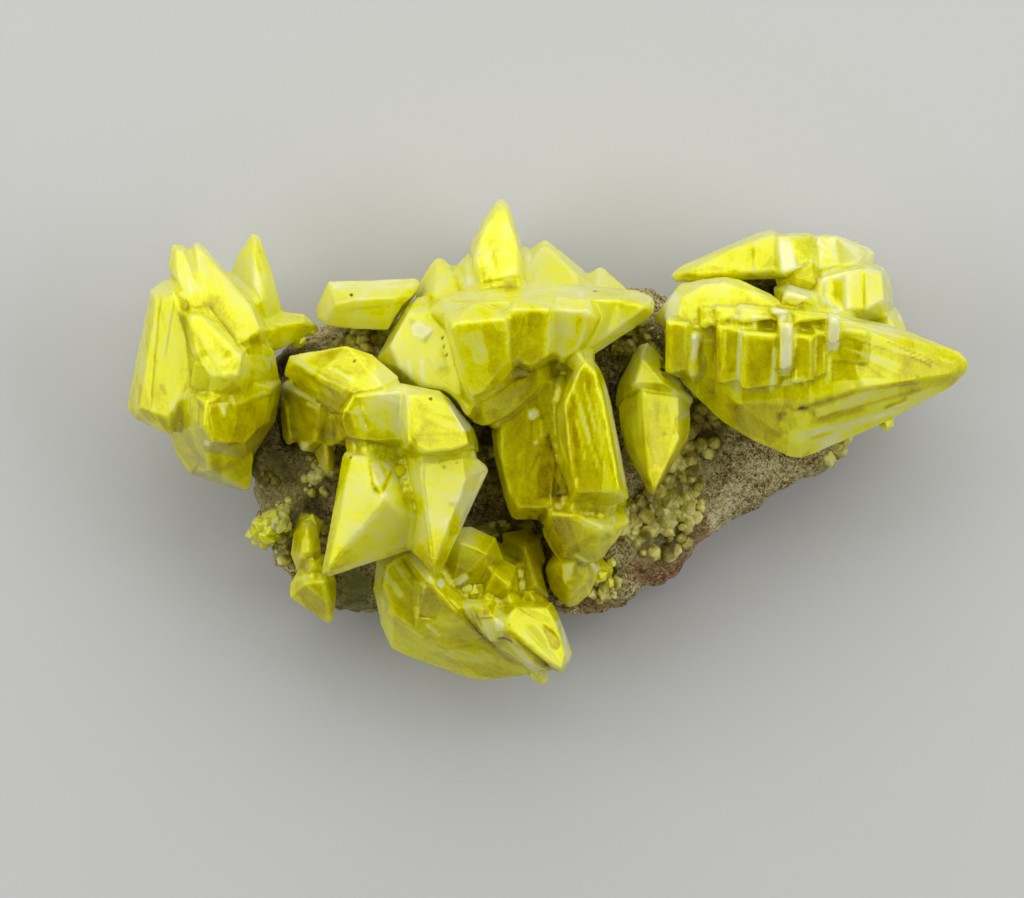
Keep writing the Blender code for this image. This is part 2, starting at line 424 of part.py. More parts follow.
RIGHT_CLUSTER = [
    # great crystal, its blunt point to the right
    ([(66.3, 57.0, 20), (66.9, 54.0, 19), (68.3, 51.6, 18), (69.4, 50.7, 18),
      (71.2, 50.1, 18), (72.0, 48.0, 18.6), (73.5, 47.0, 19), (75.5, 45.8, 19.4),
      (77.5, 45.0, 19.6), (79.0, 44.3, 19.6), (80.0, 44.2, 19.6), (81.5, 44.7, 19.6),
      (86.0, 46.6, 19.2), (90.0, 48.6, 18.6), (95.0, 51.2, 17.8), (96.5, 52.5, 17.4),
      (97.0, 53.4, 17.5), (96.8, 54.0, 18), (96.0, 54.8, 18), (91.1, 56.8, 18),
      (88.5, 57.6, 18), (83.0, 58.8, 18), (76.0, 59.2, 19), (70.0, 59.2, 20)],
     [(68.4, 57.2, 23.4), (74.0, 57.8, 25.6), (84.0, 57.8, 25.4), (92.0, 54.8, 21.2),
      (73.6, 49.8, 22.6), (81.0, 50.2, 24.6), (86.0, 51.3, 24.2), (95.2, 52.6, 19.4),
      (80.0, 45.2, 20.8)], 12),
    # crystal above the great one's left half
    ([(65.5, 58.4, 17), (65.8, 57.6, 18), (67.2, 56.8, 20), (70.0, 56.6, 22),
      (77.8, 58.4, 23), (78.0, 59.7, 21.6), (77.5, 60.3, 21), (76.0, 61.0, 20.4),
      (74.0, 62.0, 19.8), (72.2, 62.3, 19.4), (70.0, 62.0, 18.6), (68.0, 61.6, 17.6),
      (66.8, 60.2, 17), (66.0, 59.0, 17)],
     [(66.9, 60.0, 20), (66.5, 58.2, 20.4)]
     + facet(21.8, (0.2, -0.5), (68.1, 60.2), (70.4, 61.5), (72.4, 61.7), (75.8, 60.5),
             (77.3, 59.5), (73.0, 57.6), (68.0, 58.2)), 8),
    # long crystal along the upper edge
    ([(67.0, 62.2, 11), (67.3, 62.8, 11), (68.3, 63.6, 11), (70.0, 64.2, 11),
      (74.0, 66.0, 11), (76.0, 66.9, 11), (77.2, 67.2, 11), (78.0, 67.0, 11),
      (78.4, 62.2, 15), (76.8, 62.3, 15), (74.5, 62.8, 14), (73.5, 63.2, 13),
      (70.0, 61.9, 13), (67.5, 61.9, 12)],
     facet(13.6, (0.35, -0.5), (68.8, 62.9), (73.6, 65.3), (77.4, 66.6), (77.7, 63.0),
           (74.2, 63.4), (70.0, 62.6)), 6),
    ([(77.0, 66.8, 11), (78.8, 66.7, 11), (79.7, 66.9, 11), (81.2, 66.9, 11),
      (82.0, 66.4, 12), (81.6, 63.0, 16), (79.4, 62.0, 16), (77.0, 62.4, 15)],
     facet(15.6, (-0.3, -0.6), (77.9, 66.4), (79.3, 66.5), (79.4, 62.9), (78.1, 62.7))
     + [(81.2, 66.4, 13.6), (81.4, 63.6, 17)], 7),
    ([(81.0, 66.6, 11), (83.0, 66.8, 11), (84.0, 66.6, 11), (85.5, 66.1, 11),
      (87.1, 65.4, 11), (87.9, 64.8, 11), (87.5, 64.0, 12), (85.0, 62.8, 15),
      (81.2, 62.4, 16)],
     facet(15.4, (-0.3, -0.5), (81.9, 66.4), (83.7, 66.4), (83.8, 63.6), (82.0, 63.2))
     + [(86.6, 64.9, 13.6), (86.0, 63.9, 14.8), (84.2, 66.1, 13.6)], 7),
    # blocks between the long crystal and the great one
    ([(77.4, 61.4, 14), (79.5, 62.2, 14), (81.4, 61.4, 15), (81.8, 59.0, 18),
      (77.6, 58.6, 20)],
     [(78.6, 60.8, 20), (80.6, 60.2, 20.4)], 9),
    ([(80.6, 62.6, 13), (84.8, 63.4, 12), (87.4, 64.0, 10), (88.7, 63.5, 9),
      (89.5, 62.0, 9), (89.6, 59.8, 10), (88.6, 58.0, 12), (84.0, 57.8, 16),
      (80.8, 58.6, 17)],
     facet(18.4, (-0.2, 0), (82.0, 62.0), (84.6, 62.8), (84.7, 59.0), (82.2, 59.4))
     + facet(16.6, (-0.5, -0.1), (86.6, 63.2), (88.2, 62.8), (88.5, 60.0), (86.8, 59.2)), 7),
    # crystal at the rock's right edge
    ([(88.0, 59.2, 10), (89.3, 59.6, 9), (90.0, 59.3, 9), (90.6, 58.2, 9.5),
      (91.0, 57.0, 11), (90.4, 55.6, 12), (87.6, 56.0, 14)],
     [(89.0, 58.4, 14), (89.8, 57.0, 14.6)], 6),
]

# Raised steps across the great crystal, left to right: left side, right side, foot, top,
# height of the upper edge and fall from there to the foot.
GREAT_STEPS = [
    (66.5, 68.9, 52.0, 58.1, 24.8, 2.2), (68.8, 69.8, 51.6, 56.8, 24.2, 1.4),
    (71.5, 74.1, 51.0, 57.6, 26.5, 1.7), (73.9, 77.6, 50.4, 57.0, 27.1, 1.9),
    (77.5, 79.1, 52.3, 57.9, 27.6, 1.1), (79.0, 81.2, 50.9, 56.8, 26.7, 1.1),
    (81.1, 82.6, 51.6, 57.2, 26.2, 1.0), (82.5, 83.7, 54.9, 58.4, 27.7, 0.7),
    (83.6, 86.6, 52.6, 57.4, 25.8, 1.2), (69.9, 71.5, 56.4, 59.4, 25.1, -0.5),
    (71.4, 73.7, 57.0, 59.5, 25.9, -0.6), (73.6, 76.9, 56.9, 59.6, 26.3, -0.8),
    (76.8, 78.9, 57.7, 59.3, 26.9, -0.4), (79.0, 82.4, 56.9, 59.0, 26.0, -0.4),
]
STEP_LIP = 0.4  # slanting strip along each side of a step
STEP_ROOT = 19  # height of a step's floor, inside the crystal


def great_step(left, right, foot, top, height, fall):
    """One step: a block whose roof slopes down to its foot, with a slanting strip on each side."""
    low = height - fall
    floor = [(left, foot + 0.7, STEP_ROOT), (right - 0.5, foot, STEP_ROOT),
             (right, foot + 0.9, STEP_ROOT), (right, top - 0.3, STEP_ROOT),
             (left, top, STEP_ROOT)]
    strips = [(left, foot + 0.9, low - STEP_LIP), (right, foot + 1.1, low - STEP_LIP),
              (right, top - 0.4, height - STEP_LIP), (left, top - 0.1, height - STEP_LIP)]
    roof = [(left + STEP_LIP, foot + 0.7, low), (right - STEP_LIP, foot + 1.1, low),
            (right - STEP_LIP, top - 0.8, height), (left + STEP_LIP, top - 0.5, height)]
    return [on_part(*corner) for corner in floor + strips + roof]


# Host rock: overlapping lumps, each an outline at the rim, and the height of its brow at
# the lower and the upper edge of the sheet.
ROCK_LUMPS = [
    ([(24.7, 43.0), (25.1, 38.3), (25.7, 35.2), (26.8, 33.2), (29.2, 31.8), (34.4, 29.3),
      (37.5, 28.8), (45.0, 31.0), (48.0, 44.0), (44.0, 57.0), (38.0, 57.4), (30.4, 56.6),
      (27.8, 54.4), (25.6, 49.0)], 7.2, 13.4),
    ([(36.0, 30.5), (46.0, 30.2), (57.6, 29.8), (59.8, 29.2), (61.2, 29.3), (63.6, 30.6),
      (66.6, 31.8), (69.0, 36.0), (71.0, 44.0), (71.0, 55.0), (69.0, 60.0), (65.4, 61.2),
      (63.6, 61.0), (52.0, 60.0), (40.0, 58.0), (35.0, 50.0)], 8.4, 13.6),
    ([(60.0, 33.0), (64.0, 31.2), (67.6, 32.4), (69.4, 34.0), (70.6, 35.8), (73.0, 38.2),
      (76.6, 44.0), (78.0, 58.0), (66.0, 58.0), (60.0, 50.0)], 8.4, 12.6),
    ([(70.0, 40.0), (73.0, 38.4), (78.0, 41.6), (82.8, 43.0), (85.6, 46.6), (89.6, 56.0),
      (90.0, 57.8), (87.6, 61.4), (82.0, 64.4), (76.0, 65.0), (70.0, 63.2), (68.0, 50.0)],
     8.0, 12.2),
]


def rock_lump(rim, low_brow, high_brow):
    """Corners of one lump: its broken foot, its rim and its brow."""
    middle = sum((Vector(corner) for corner in rim), Vector((0, 0))) / len(rim)
    bottom = min(y for _, y in rim)
    depth = max(y for _, y in rim) - bottom
    corners = []
    for corner in rim:
        brow = low_brow + (high_brow - low_brow) * (corner[1] - bottom) / depth
        for inset, height in ((ROCK_FOOT_INSET, -ROCK_FOOT_DEPTH), (1, ROCK_RIM_HEIGHT),
                              (ROCK_BROW_INSET, brow)):
            place = middle + (Vector(corner) - middle) * inset
            corners.append(on_part(place.x, place.y, height))
    return corners


def roughen(solid, name, size, strength):
    """Displaces a surface by cloud noise of one size."""
    noise = bpy.data.textures.new(name, "CLOUDS")
    noise.noise_scale = size * MM
    noise.noise_depth = 2
    bumps = solid.modifiers.new(name, "DISPLACE")
    bumps.texture = noise
    bumps.texture_coords = "GLOBAL"
    bumps.strength = strength * MM
    bumps.mid_level = 0.5


def largest_body(solid):
    """Drops the chips that a cut leaves loose."""
    shape = bmesh.new()
    shape.from_mesh(solid.data)
    shape.verts.ensure_lookup_table()
    unseen = set(shape.verts)
    bodies = []
    while unseen:
        body = set()
        edge = [unseen.pop()]
        while edge:
            corner = edge.pop()
            body.add(corner)
            for side in corner.link_edges:
                other = side.other_vert(corner)
                if other in unseen:
                    unseen.discard(other)
                    edge.append(other)
        bodies.append(body)
    bodies.sort(key=len)
    chips = [corner for body in bodies[:-1] for corner in body]
    bmesh.ops.delete(shape, geom=chips, context="VERTS")
    shape.to_mesh(solid.data)
    shape.free()


def block(name, low, high):
    """A plain block between two corners of the plan sheet."""
    corners = [on_part(x, y, z) for x in (low[0], high[0]) for y in (low[1], high[1])
               for z in (low[2], high[2])]
    return solid_hull(name, corners, cutters)


def host_rock(seats):
    """The rock: fused lumps, weathered, broken flat underneath, with a seat for each crystal."""
    rock = solid_hull("host_rock", rock_lump(*ROCK_LUMPS[0]), specimen)
    for lump in ROCK_LUMPS[1:]:
        combine(rock, solid_hull("lump", rock_lump(*lump), cutters), "UNION")
    grain = rock.modifiers.new("grain", "REMESH")
    grain.mode = "VOXEL"
    grain.voxel_size = ROCK_CELL * MM
    roughen(rock, "swells", *ROCK_SWELLS)
    roughen(rock, "pits", *ROCK_PITS)
    baked(rock)
    coarse = rock.modifiers.new("coarse", "DECIMATE")
    coarse.ratio = ROCK_FACES / (2 * len(rock.data.polygons))
    baked(rock)
    combine(rock, block("break", (0, 0, -20), (*SHEET_SIZE, 0)), "DIFFERENCE")
    for points in seats:
        combine(rock, solid_hull("seat", grown(points), cutters), "DIFFERENCE")
    largest_body(rock)
    rock.data.materials.clear()
    rock.data.materials.append(host)
    return rock


left, left_shapes = cluster("left_crystal_cluster", LEFT_CLUSTER)
back, back_shapes = cluster("back_left_crystal", BACK_LEFT_CRYSTAL)
arm, arm_shapes = cluster("arm_crystal_cluster", ARM_CLUSTER)
tablet, tablet_shapes = cluster("lower_left_tablet", LOWER_LEFT_TABLET)
spurs, spur_shapes = cluster("lower_left_points", LOWER_LEFT_POINTS)
lower, lower_shapes = cluster("lower_crystal_cluster", LOWER_CLUSTER)
centre, centre_shapes = cluster("centre_crystal_cluster", CENTRE_CLUSTER)
arrow, arrow_shapes = cluster("arrow_crystal", ARROW_CRYSTAL)
right, right_shapes = cluster("right_crystal_cluster", RIGHT_CLUSTER)
for step in GREAT_STEPS:
    corners = great_step(*step)
    combine(right, solid_hull("step", corners, cutters), "UNION")
    right_shapes.append(corners)

clear_of(left, arm_shapes)
clear_of(back, centre_shapes)
clear_of(centre, arm_shapes)
clear_of(lower, arm_shapes + centre_shapes)
clear_of(arrow, centre_shapes + right_shapes)
clear_of(right, centre_shapes)

for solid in (left, back, centre, lower, arrow, right):
    largest_body(solid)

host_rock(left_shapes + back_shapes + arm_shapes + tablet_shapes + spur_shapes
          + lower_shapes + centre_shapes + arrow_shapes + right_shapes)
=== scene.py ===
"""Looks of a native sulfur specimen: translucent yellow crystals on a lump of grey-brown host rock."""

import bmesh
import bpy
import numpy as np
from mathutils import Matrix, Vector
from mathutils.bvhtree import BVHTree


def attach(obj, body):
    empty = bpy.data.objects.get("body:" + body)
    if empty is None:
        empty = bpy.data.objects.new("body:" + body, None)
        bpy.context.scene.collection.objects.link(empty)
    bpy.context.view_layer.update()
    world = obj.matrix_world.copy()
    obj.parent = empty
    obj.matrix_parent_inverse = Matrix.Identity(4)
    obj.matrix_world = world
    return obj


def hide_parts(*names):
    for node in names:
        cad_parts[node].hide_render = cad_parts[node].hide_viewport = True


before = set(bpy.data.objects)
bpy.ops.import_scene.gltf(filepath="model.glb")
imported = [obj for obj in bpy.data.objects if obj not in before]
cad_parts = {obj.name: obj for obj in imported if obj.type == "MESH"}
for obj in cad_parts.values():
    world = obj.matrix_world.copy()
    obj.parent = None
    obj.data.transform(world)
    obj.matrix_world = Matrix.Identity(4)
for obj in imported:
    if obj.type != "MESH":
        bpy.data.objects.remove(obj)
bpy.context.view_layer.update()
MM = 0.001

# Host rock: one loose lump of porous, altered volcanic rock, grey-brown with rusty patches. It
# is broken off its bed, so its surface is granular and pitted, and its back is a flat fracture.
ROCK_CELLS = 62000
ROCK_ROUNDING = 2
ROCK_RELIEFS = [  # size of the lumps, their height and their seed, for lumps, pits and grains
    (3.2 * MM, 0.40 * MM, 3), (1.3 * MM, 0.26 * MM, 11), (0.6 * MM, 0.16 * MM, 17),
]
WELD = 0.002 * MM  # corners of a solid's loose triangles nearer than this are one
SNAP_NEAR = 0.22 * MM
SNAP_FAR = 0.40 * MM
OCTAVE_SHARE = 0.55
MOSS_GREEN = (0.32, 0.33, 0.11)
# painted shade, laid into the rock's cavities and the hollows under the crystals
PAINTED_SHADE_BROWN = (0.05, 0.028, 0.012)
CRUST_YELLOW = (0.40, 0.39, 0.13)


def hashed(code, seed):
    """A fixed random value from -1 to 1 for each whole number: three rounds of multiplying by a
    large odd number and folding the high bits down."""
    code = (code ^ (seed * 2654435761)) & 0xFFFFFFFF
    for factor in (1274126177, 2246822519, 3266489917):
        code = ((code ^ (code >> 14)) * factor) & 0xFFFFFFFF
    return (code >> 8) / 8388608.0 - 1


def lattice_noise(points, size, seed):
    """Values from -1 to 1: a random number at each corner of a cubic lattice, blended inside
    each cell by the smooth weight 3t^2 - 2t^3 along each axis."""
    cell = np.floor(points / size).astype(np.int64)
    part = points / size - cell
    part = part * part * (3 - 2 * part)
    total = np.zeros(len(points))
    for corner in np.ndindex(2, 2, 2):
        x, y, z = (cell + corner).T
        value = hashed((x * 73856093) ^ (y * 19349663) ^ (z * 83492791), seed)
        total += value * np.prod(np.where(corner, part, 1 - part), axis=1)
    return total


def fractal_noise(points, size, octaves, seed):
    """Lattice noise summed over octaves, each half the size and about half the height."""
    total = np.zeros(len(points))
    for octave in range(octaves):
        total += lattice_noise(points, size / 2 ** octave, seed + octave) * OCTAVE_SHARE ** octave
    return total


def settled(piece):
    """Turns a piece's modifiers into its mesh."""
    graph = bpy.context.evaluated_depsgraph_get()
    mesh = bpy.data.meshes.new_from_object(piece.evaluated_get(graph))
    piece.modifiers.clear()
    piece.data = mesh
    mesh.name = piece.name


def skin_of(node, cells, name, rounds, closed=0):
    """A fine even mesh over a solid: square cells of equal size, as many as asked for, then each
    point moved towards its neighbours' mean a few times, which rounds edges over one cell. With
    a closing distance, the surface first swells by it, fuses with itself and shrinks back, so
    any cleft under twice that distance wide is filled, and the rest returns to the solid."""
    skin = bpy.data.objects.new(name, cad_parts[node].data.copy())
    bpy.context.scene.collection.objects.link(skin)
    shape = bmesh.new()
    shape.from_mesh(skin.data)
    bmesh.ops.remove_doubles(shape, verts=shape.verts, dist=WELD)
    area = sum(face.calc_area() for face in shape.faces)
    shape.to_mesh(skin.data)
    shape.free()
    for shift in (0, closed, -closed) if closed else (0,):
        if shift:
            swell = skin.modifiers.new("swell", "DISPLACE")
            swell.mid_level = 0
            swell.strength = shift
        even = skin.modifiers.new("even cells", "REMESH")
        even.mode = "VOXEL"
        even.voxel_size = (area / cells) ** 0.5
    rounding = skin.modifiers.new("rounding", "SMOOTH")
    rounding.factor = 0.5
    rounding.iterations = rounds
    settled(skin)
    if closed:
        back_on_solid(skin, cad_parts[node])
    skin.data.materials.clear()
    skin.data.shade_smooth()
    return skin


def back_on_solid(skin, solid):
    """Moves each point that lies within SNAP_NEAR of a solid onto it, and the points out to
    SNAP_FAR part of the way, so flat faces and sharp edges come back."""
    near = skin.vertex_groups.new(name="near")
    near.add(range(len(skin.data.vertices)), 1.0, "REPLACE")
    reach = skin.modifiers.new("reach", "VERTEX_WEIGHT_PROXIMITY")
    reach.vertex_group = near.name
    reach.target = solid
    reach.proximity_mode = "GEOMETRY"
    reach.proximity_geometry = {"FACE"}
    reach.min_dist = SNAP_FAR
    reach.max_dist = SNAP_NEAR
    wrap = skin.modifiers.new("wrap", "SHRINKWRAP")
    wrap.target = solid
    wrap.vertex_group = near.name
    settled(skin)


def points_of(piece):
    """The piece's points and their normals, as arrays."""
    mesh = piece.data
    points = np.empty(len(mesh.vertices) * 3, np.float32)
    mesh.vertices.foreach_get("co", points)
    normals = np.empty(len(mesh.vertices) * 3, np.float32)
    mesh.vertex_normals.foreach_get("vector", normals)
    return points.reshape(-1, 3).astype(float), normals.reshape(-1, 3).astype(float)


def raise_surface(piece, heights):
    """Moves each point along its normal by its height, and none below the flat back."""
    points, normals = points_of(piece)
    moved = points + normals * heights[:, None]
    moved[:, 2] = np.maximum(moved[:, 2], 0)
    piece.data.vertices.foreach_set("co", moved.astype(np.float32).ravel())
    piece.data.update()


def node_maker(material):
    """A function that adds a shader node with its values and links, and returns it."""
    tree = material.node_tree

    def make(kind, values=(), links=(), **settings):
        node = tree.nodes.new("ShaderNode" + kind)
        for key, value in settings.items():
            setattr(node, key, value)
        for key, value in dict(values).items():
            node.inputs[key].default_value = value
        for key, socket in dict(links).items():
            tree.links.new(socket, node.inputs[key])
        return node

    return make


def new_material(name):
    """A material, its shader and its node maker."""
    made = bpy.data.materials.new(name)
    made.use_nodes = True
    return made, made.node_tree.nodes["Principled BSDF"], node_maker(made)


def ramp_stops(node, *stops):
    """Sets a colour ramp's stops, each a place and a colour."""
    ramp = node.color_ramp
    while len(ramp.elements) < len(stops):
        ramp.elements.new(0.5)
    for element, (place, color) in zip(ramp.elements, stops):
        element.position = place
        element.color = (*color, 1)
    return node.outputs["Color"]


def rock_finish():
    """Grey-brown grains, paler and rusty in patches, then three layers over them: a mossy green
    stain, painted shade in the cavities, and a yellowish crust, broken up by blots, round the druse."""
    made, shader, make = new_material("host rock")
    place = make("TexCoord").outputs["Object"]
    patches = make("TexNoise", {"Scale": 130, "Detail": 4, "Roughness": 0.6}, {"Vector": place})
    grains = make("TexNoise", {"Scale": 2900, "Detail": 5, "Roughness": 0.72, "Distortion": 1.1},
                  {"Vector": place})
    blots = make("TexNoise", {"Scale": 520, "Detail": 3, "Roughness": 0.6}, {"Vector": place})
    speckle = make("Math", {1: 0.78}, {0: grains.outputs["Fac"]}, operation="MULTIPLY")
    speckle = make("Math", {1: 0.22}, {0: blots.outputs["Fac"], 2: speckle.outputs["Value"]},
                   operation="MULTIPLY_ADD")
    shown = make("Attribute", attribute_name="pale").outputs["Fac"]
    speckle = make("Math", {1: 0.04}, {0: shown, 2: speckle.outputs["Value"]},
                   operation="MULTIPLY_ADD").outputs["Value"]
    earth = ramp_stops(make("ValToRGB", {}, {"Fac": speckle}),
                       (0.42, (0.07, 0.044, 0.013)), (0.475, (0.36, 0.27, 0.09)),
                       (0.525, (0.70, 0.56, 0.23)), (0.60, (1.0, 0.93, 0.58)))
    rust = ramp_stops(make("ValToRGB", {}, {"Fac": speckle}),
                      (0.42, (0.06, 0.018, 0.006)), (0.5, (0.30, 0.115, 0.04)),
                      (0.59, (0.70, 0.46, 0.24)))
    stained = make("Attribute", attribute_name="rust").outputs["Fac"]
    stained = make("Math", {}, {0: stained, 1: patches.outputs["Fac"]}, operation="ADD")
    rusty = ramp_stops(make("ValToRGB", {}, {"Fac": stained.outputs["Value"]}),
                       (0.54, (0, 0, 0)), (0.76, (0.9, 0.9, 0.9)))
    color = make("Mix", {}, {"Factor": rusty, "A": earth, "B": rust}, data_type="RGBA")
    crusted = make("Attribute", attribute_name="crust").outputs["Fac"]
    crusted = make("Math", {}, {0: crusted, 1: blots.outputs["Fac"]}, operation="MULTIPLY")
    # two stains and, in the cavities, painted shade
    for share, stain_or_painted_shade in ((make("Attribute", attribute_name="green").outputs["Fac"], MOSS_GREEN),
                         (make("Attribute", attribute_name="painted_cavity_shade").outputs["Fac"], PAINTED_SHADE_BROWN),
                         (crusted.outputs["Value"], CRUST_YELLOW)):
        color = make("Mix", {"B": (*stain_or_painted_shade, 1)},
                     {"Factor": share, "A": color.outputs["Result"]}, data_type="RGBA")
    relief = make("Bump", {"Strength": 1.0, "Distance": 0.5 * MM},
                  {"Height": grains.outputs["Fac"]})
    made.node_tree.links.new(color.outputs["Result"], shader.inputs["Base Color"])
    made.node_tree.links.new(relief.outputs["Normal"], shader.inputs["Normal"])
    shader.inputs["Roughness"].default_value = 0.92
    shader.inputs["Specular IOR Level"].default_value = 0.25
    return made


rock = skin_of("host_rock", ROCK_CELLS, "host_rock_surface", ROCK_ROUNDING)
rock_points, _ = points_of(rock)
raise_surface(rock, sum(fractal_noise(rock_points, size, 2, seed) * height
                        for size, height, seed in ROCK_RELIEFS))
rock.data.materials.append(rock_finish())
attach(rock, "root")
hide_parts("host_rock")

# Druse: a crust of tiny blunt sulfur crystals, pale yellow-green, that grew straight on the
# rock in the sheltered hollows round the feet of the large crystals.
PLAN_ZERO = (54.75, 44.2)  # the plan sheet's place of the part's middle, y down the sheet
DRUSE_SEED = 7
DRUSE_BED = 0.35  # share of a knob's height that is sunk in the rock
DROP_HEIGHT = 100 * MM  # places are dropped on a surface from above it all
KNOB_SPREAD = (0.5, 1.3)  # the square of a number between these scales a knob
STAIN_AND_SHADE_MOTTLE = (1.6 * MM, 0.5)  # size and strength of the clouds that break up the stains and the painted cavity shade
DRUSE_ZONES = [
    # middle of the patch, its half sizes, its turn in degrees, knobs, radius of a knob in mm
    ((64.8, 51.5), (3.2, 2.2), 20, 96, 0.62), ((68.6, 47.4), (1.9, 3.4), -15, 96, 0.56),
    ((66.4, 53.4), (3.0, 2.4), 30, 44, 0.5), ((70.4, 43.2), (1.6, 2.4), 0, 34, 0.45),
    ((27.6, 49.0), (2.0, 2.6), 30, 14, 0.5), ((31.6, 47.4), (1.8, 2.2), 0, 30, 0.55),
    ((27.6, 54.6), (2.4, 1.6), 0, 34, 0.45), ((48.6, 46.8), (1.6, 2.4), 0, 30, 0.5),
    ((50.6, 54.4), (3.6, 2.2), 0, 90, 0.5), ((62.6, 33.6), (3.6, 2.2), -20, 110, 0.45),
    ((36.6, 33.4), (3.4, 1.4), 10, 50, 0.5), ((60.2, 58.4), (1.8, 1.8), 0, 60, 0.42),
    ((84.6, 45.0), (2.0, 0.9), 35, 44, 0.55), ((30.6, 53.2), (1.6, 1.2), 0, 22, 0.5),
    ((69.0, 27.6), (2.4, 0.6), 10, 40, 0.4), ((68.8, 50.6), (1.6, 2.2), 0, 40, 0.45),
]
ROCK_STAINS_AND_SHADE = {  # middle, half sizes, turn and greatest share of each stain, and of the painted shade
    "rust": [((69.4, 55.0), (1.5, 3.8), 0, 0.85), ((66.5, 57.0), (3.0, 1.5), 0, 0.4),
             ((59.5, 59.5), (1.6, 1.4), 0, 0.3), ((50.0, 51.5), (3.0, 2.0), 0, 0.35)],
    "pale": [((71.6, 51.5), (1.6, 5.0), -30, 0.9), ((76.0, 47.5), (5.0, 1.6), 25, 0.8),
             ((27.0, 56.0), (2.2, 2.0), 0, 0.8), ((25.8, 47.2), (1.8, 1.6), 0, 0.9),
             ((31.0, 33.6), (4.5, 1.2), 0, 0.6), ((66.0, 28.4), (3.0, 1.2), 0, 0.6)],
    "green": [((35.5, 58.8), (2.4, 3.0), 0, 0.75), ((84.0, 46.4), (3.5, 1.0), 30, 0.5)],
    # painted shade: dark brown laid where shade falls in the cavities and under the crystals
    "painted_cavity_shade": [((70.6, 42.0), (1.5, 3.0), 0, 0.9), ((76.5, 29.0), (2.0, 1.2), 0, 0.8),
               ((51.6, 52.0), (2.4, 1.2), 0, 0.7), ((28.0, 44.5), (2.4, 3.4), 0, 0.7),
               ((31.6, 50.6), (1.8, 3.0), 0, 0.6), ((49.2, 43.0), (1.2, 2.2), 0, 0.7),
               ((28.4, 36.4), (1.0, 1.6), 0, 0.7), ((61.4, 39.2), (0.8, 1.4), 0, 0.8)],
}


def plan(x, y):
    """A place of the plan sheet in the part's frame, in metres."""
    return (x - PLAN_ZERO[0]) * MM, (PLAN_ZERO[1] - y) * MM


def knob_form():
    """One knob: two rings of six points between two poles, drawn out to a blunt crystal by the
    radius (cos a)^0.6 at each height 1.1 sin a."""
    turns = np.arange(6) * np.pi / 3
    rings = []
    for tilt, shift in ((-0.45, 0.0), (0.5, np.pi / 6)):
        radius = np.cos(tilt) ** 0.6
        rings.append(np.stack([radius * np.cos(turns + shift), radius * np.sin(turns + shift),
                               np.full(6, np.sin(tilt) * 1.1)], axis=1))
    points = np.concatenate([[(0, 0, -1.0)], rings[0], rings[1], [(0, 0, 1.25)]])
    step = np.arange(6)
    after = (step + 1) % 6
    faces = np.concatenate([
        np.stack([np.zeros(6, int), 1 + after, 1 + step], axis=1),
        np.stack([1 + step, 1 + after, 7 + step], axis=1),
        np.stack([1 + after, 7 + after, 7 + step], axis=1),
        np.stack([7 + step, 7 + after, np.full(6, 13)], axis=1)])
    return points, faces


def turned(count, chance):
    """Random turns as an array of rotation matrices, each from a random unit quaternion."""
    q = chance.normal(size=(count, 4))
    w, x, y, z = (q / np.linalg.norm(q, axis=1, keepdims=True)).T
    return np.stack([
        np.stack([1 - 2 * (y * y + z * z), 2 * (x * y - w * z), 2 * (x * z + w * y)], axis=1),
        np.stack([2 * (x * y + w * z), 1 - 2 * (x * x + z * z), 2 * (y * z - w * x)], axis=1),
        np.stack([2 * (x * z - w * y), 2 * (y * z + w * x), 1 - 2 * (x * x + y * y)], axis=1),
    ], axis=1)


def knobs(name, centres, sizes, chance):
    """One mesh of many knobs: every knob's points are the form, turned, stretched a little and
    moved to its centre."""
    form, faces = knob_form()
    stretch = chance.uniform(0.75, 1.25, (len(centres), 1, 3))
    points = np.einsum("nij,nkj->nki", turned(len(centres), chance), form[None] * stretch)
    points = points * sizes[:, None, None] + centres[:, None, :]
    lists = faces[None] + (np.arange(len(centres)) * len(form))[:, None, None]
    mesh = bpy.data.meshes.new(name)
    mesh.from_pydata(points.reshape(-1, 3).tolist(), [], lists.reshape(-1, 3).tolist())
    piece = bpy.data.objects.new(name, mesh)
    bpy.context.scene.collection.objects.link(piece)
    return piece


def surface_tree(piece):
    """A search tree over a piece's surface."""
    return BVHTree.FromObject(piece, bpy.context.evaluated_depsgraph_get())


def dropped_on(tree, places):
    """The points where vertical lines through the places first meet the surface from above."""
    found = []
    for x, y in places:
        spot = tree.ray_cast(Vector((x, y, DROP_HEIGHT)), Vector((0, 0, -1)))[0]
        if spot is not None:
            found.append(spot)
    return np.array([tuple(spot) for spot in found])


def druse_finish():
    """Pale yellow-green, frosted, a little translucent."""
    made, shader, make = new_material("druse")
    place = make("TexCoord").outputs["Object"]
    tint = make("TexNoise", {"Scale": 420, "Detail": 3, "Roughness": 0.6}, {"Vector": place})
    color = ramp_stops(make("ValToRGB", {}, {"Fac": tint.outputs["Fac"]}),
                       (0.38, (0.20, 0.14, 0.01)), (0.48, (0.46, 0.40, 0.05)),
                       (0.60, (0.76, 0.71, 0.20)))
    made.node_tree.links.new(color, shader.inputs["Base Color"])
    shader.inputs["Roughness"].default_value = 0.42
    shader.inputs["IOR"].default_value = 1.6
    shader.inputs["Subsurface Weight"].default_value = 0.4
    shader.inputs["Subsurface Radius"].default_value = (1.0, 0.9, 0.3)
    shader.inputs["Subsurface Scale"].default_value = 0.5 * MM
    return made


def zone_radius(points, middle, half, turn):
    """How far points lie out from a patch's middle in plan: 1 on the rim of its ellipse."""
    x, y = plan(*middle)
    lean = np.radians(turn)
    across = (points[:, 0] - x) * np.cos(lean) + (points[:, 1] - y) * np.sin(lean)
    up = (points[:, 1] - y) * np.cos(lean) - (points[:, 0] - x) * np.sin(lean)
    return np.hypot(across / (half[0] * MM), up / (half[1] * MM))


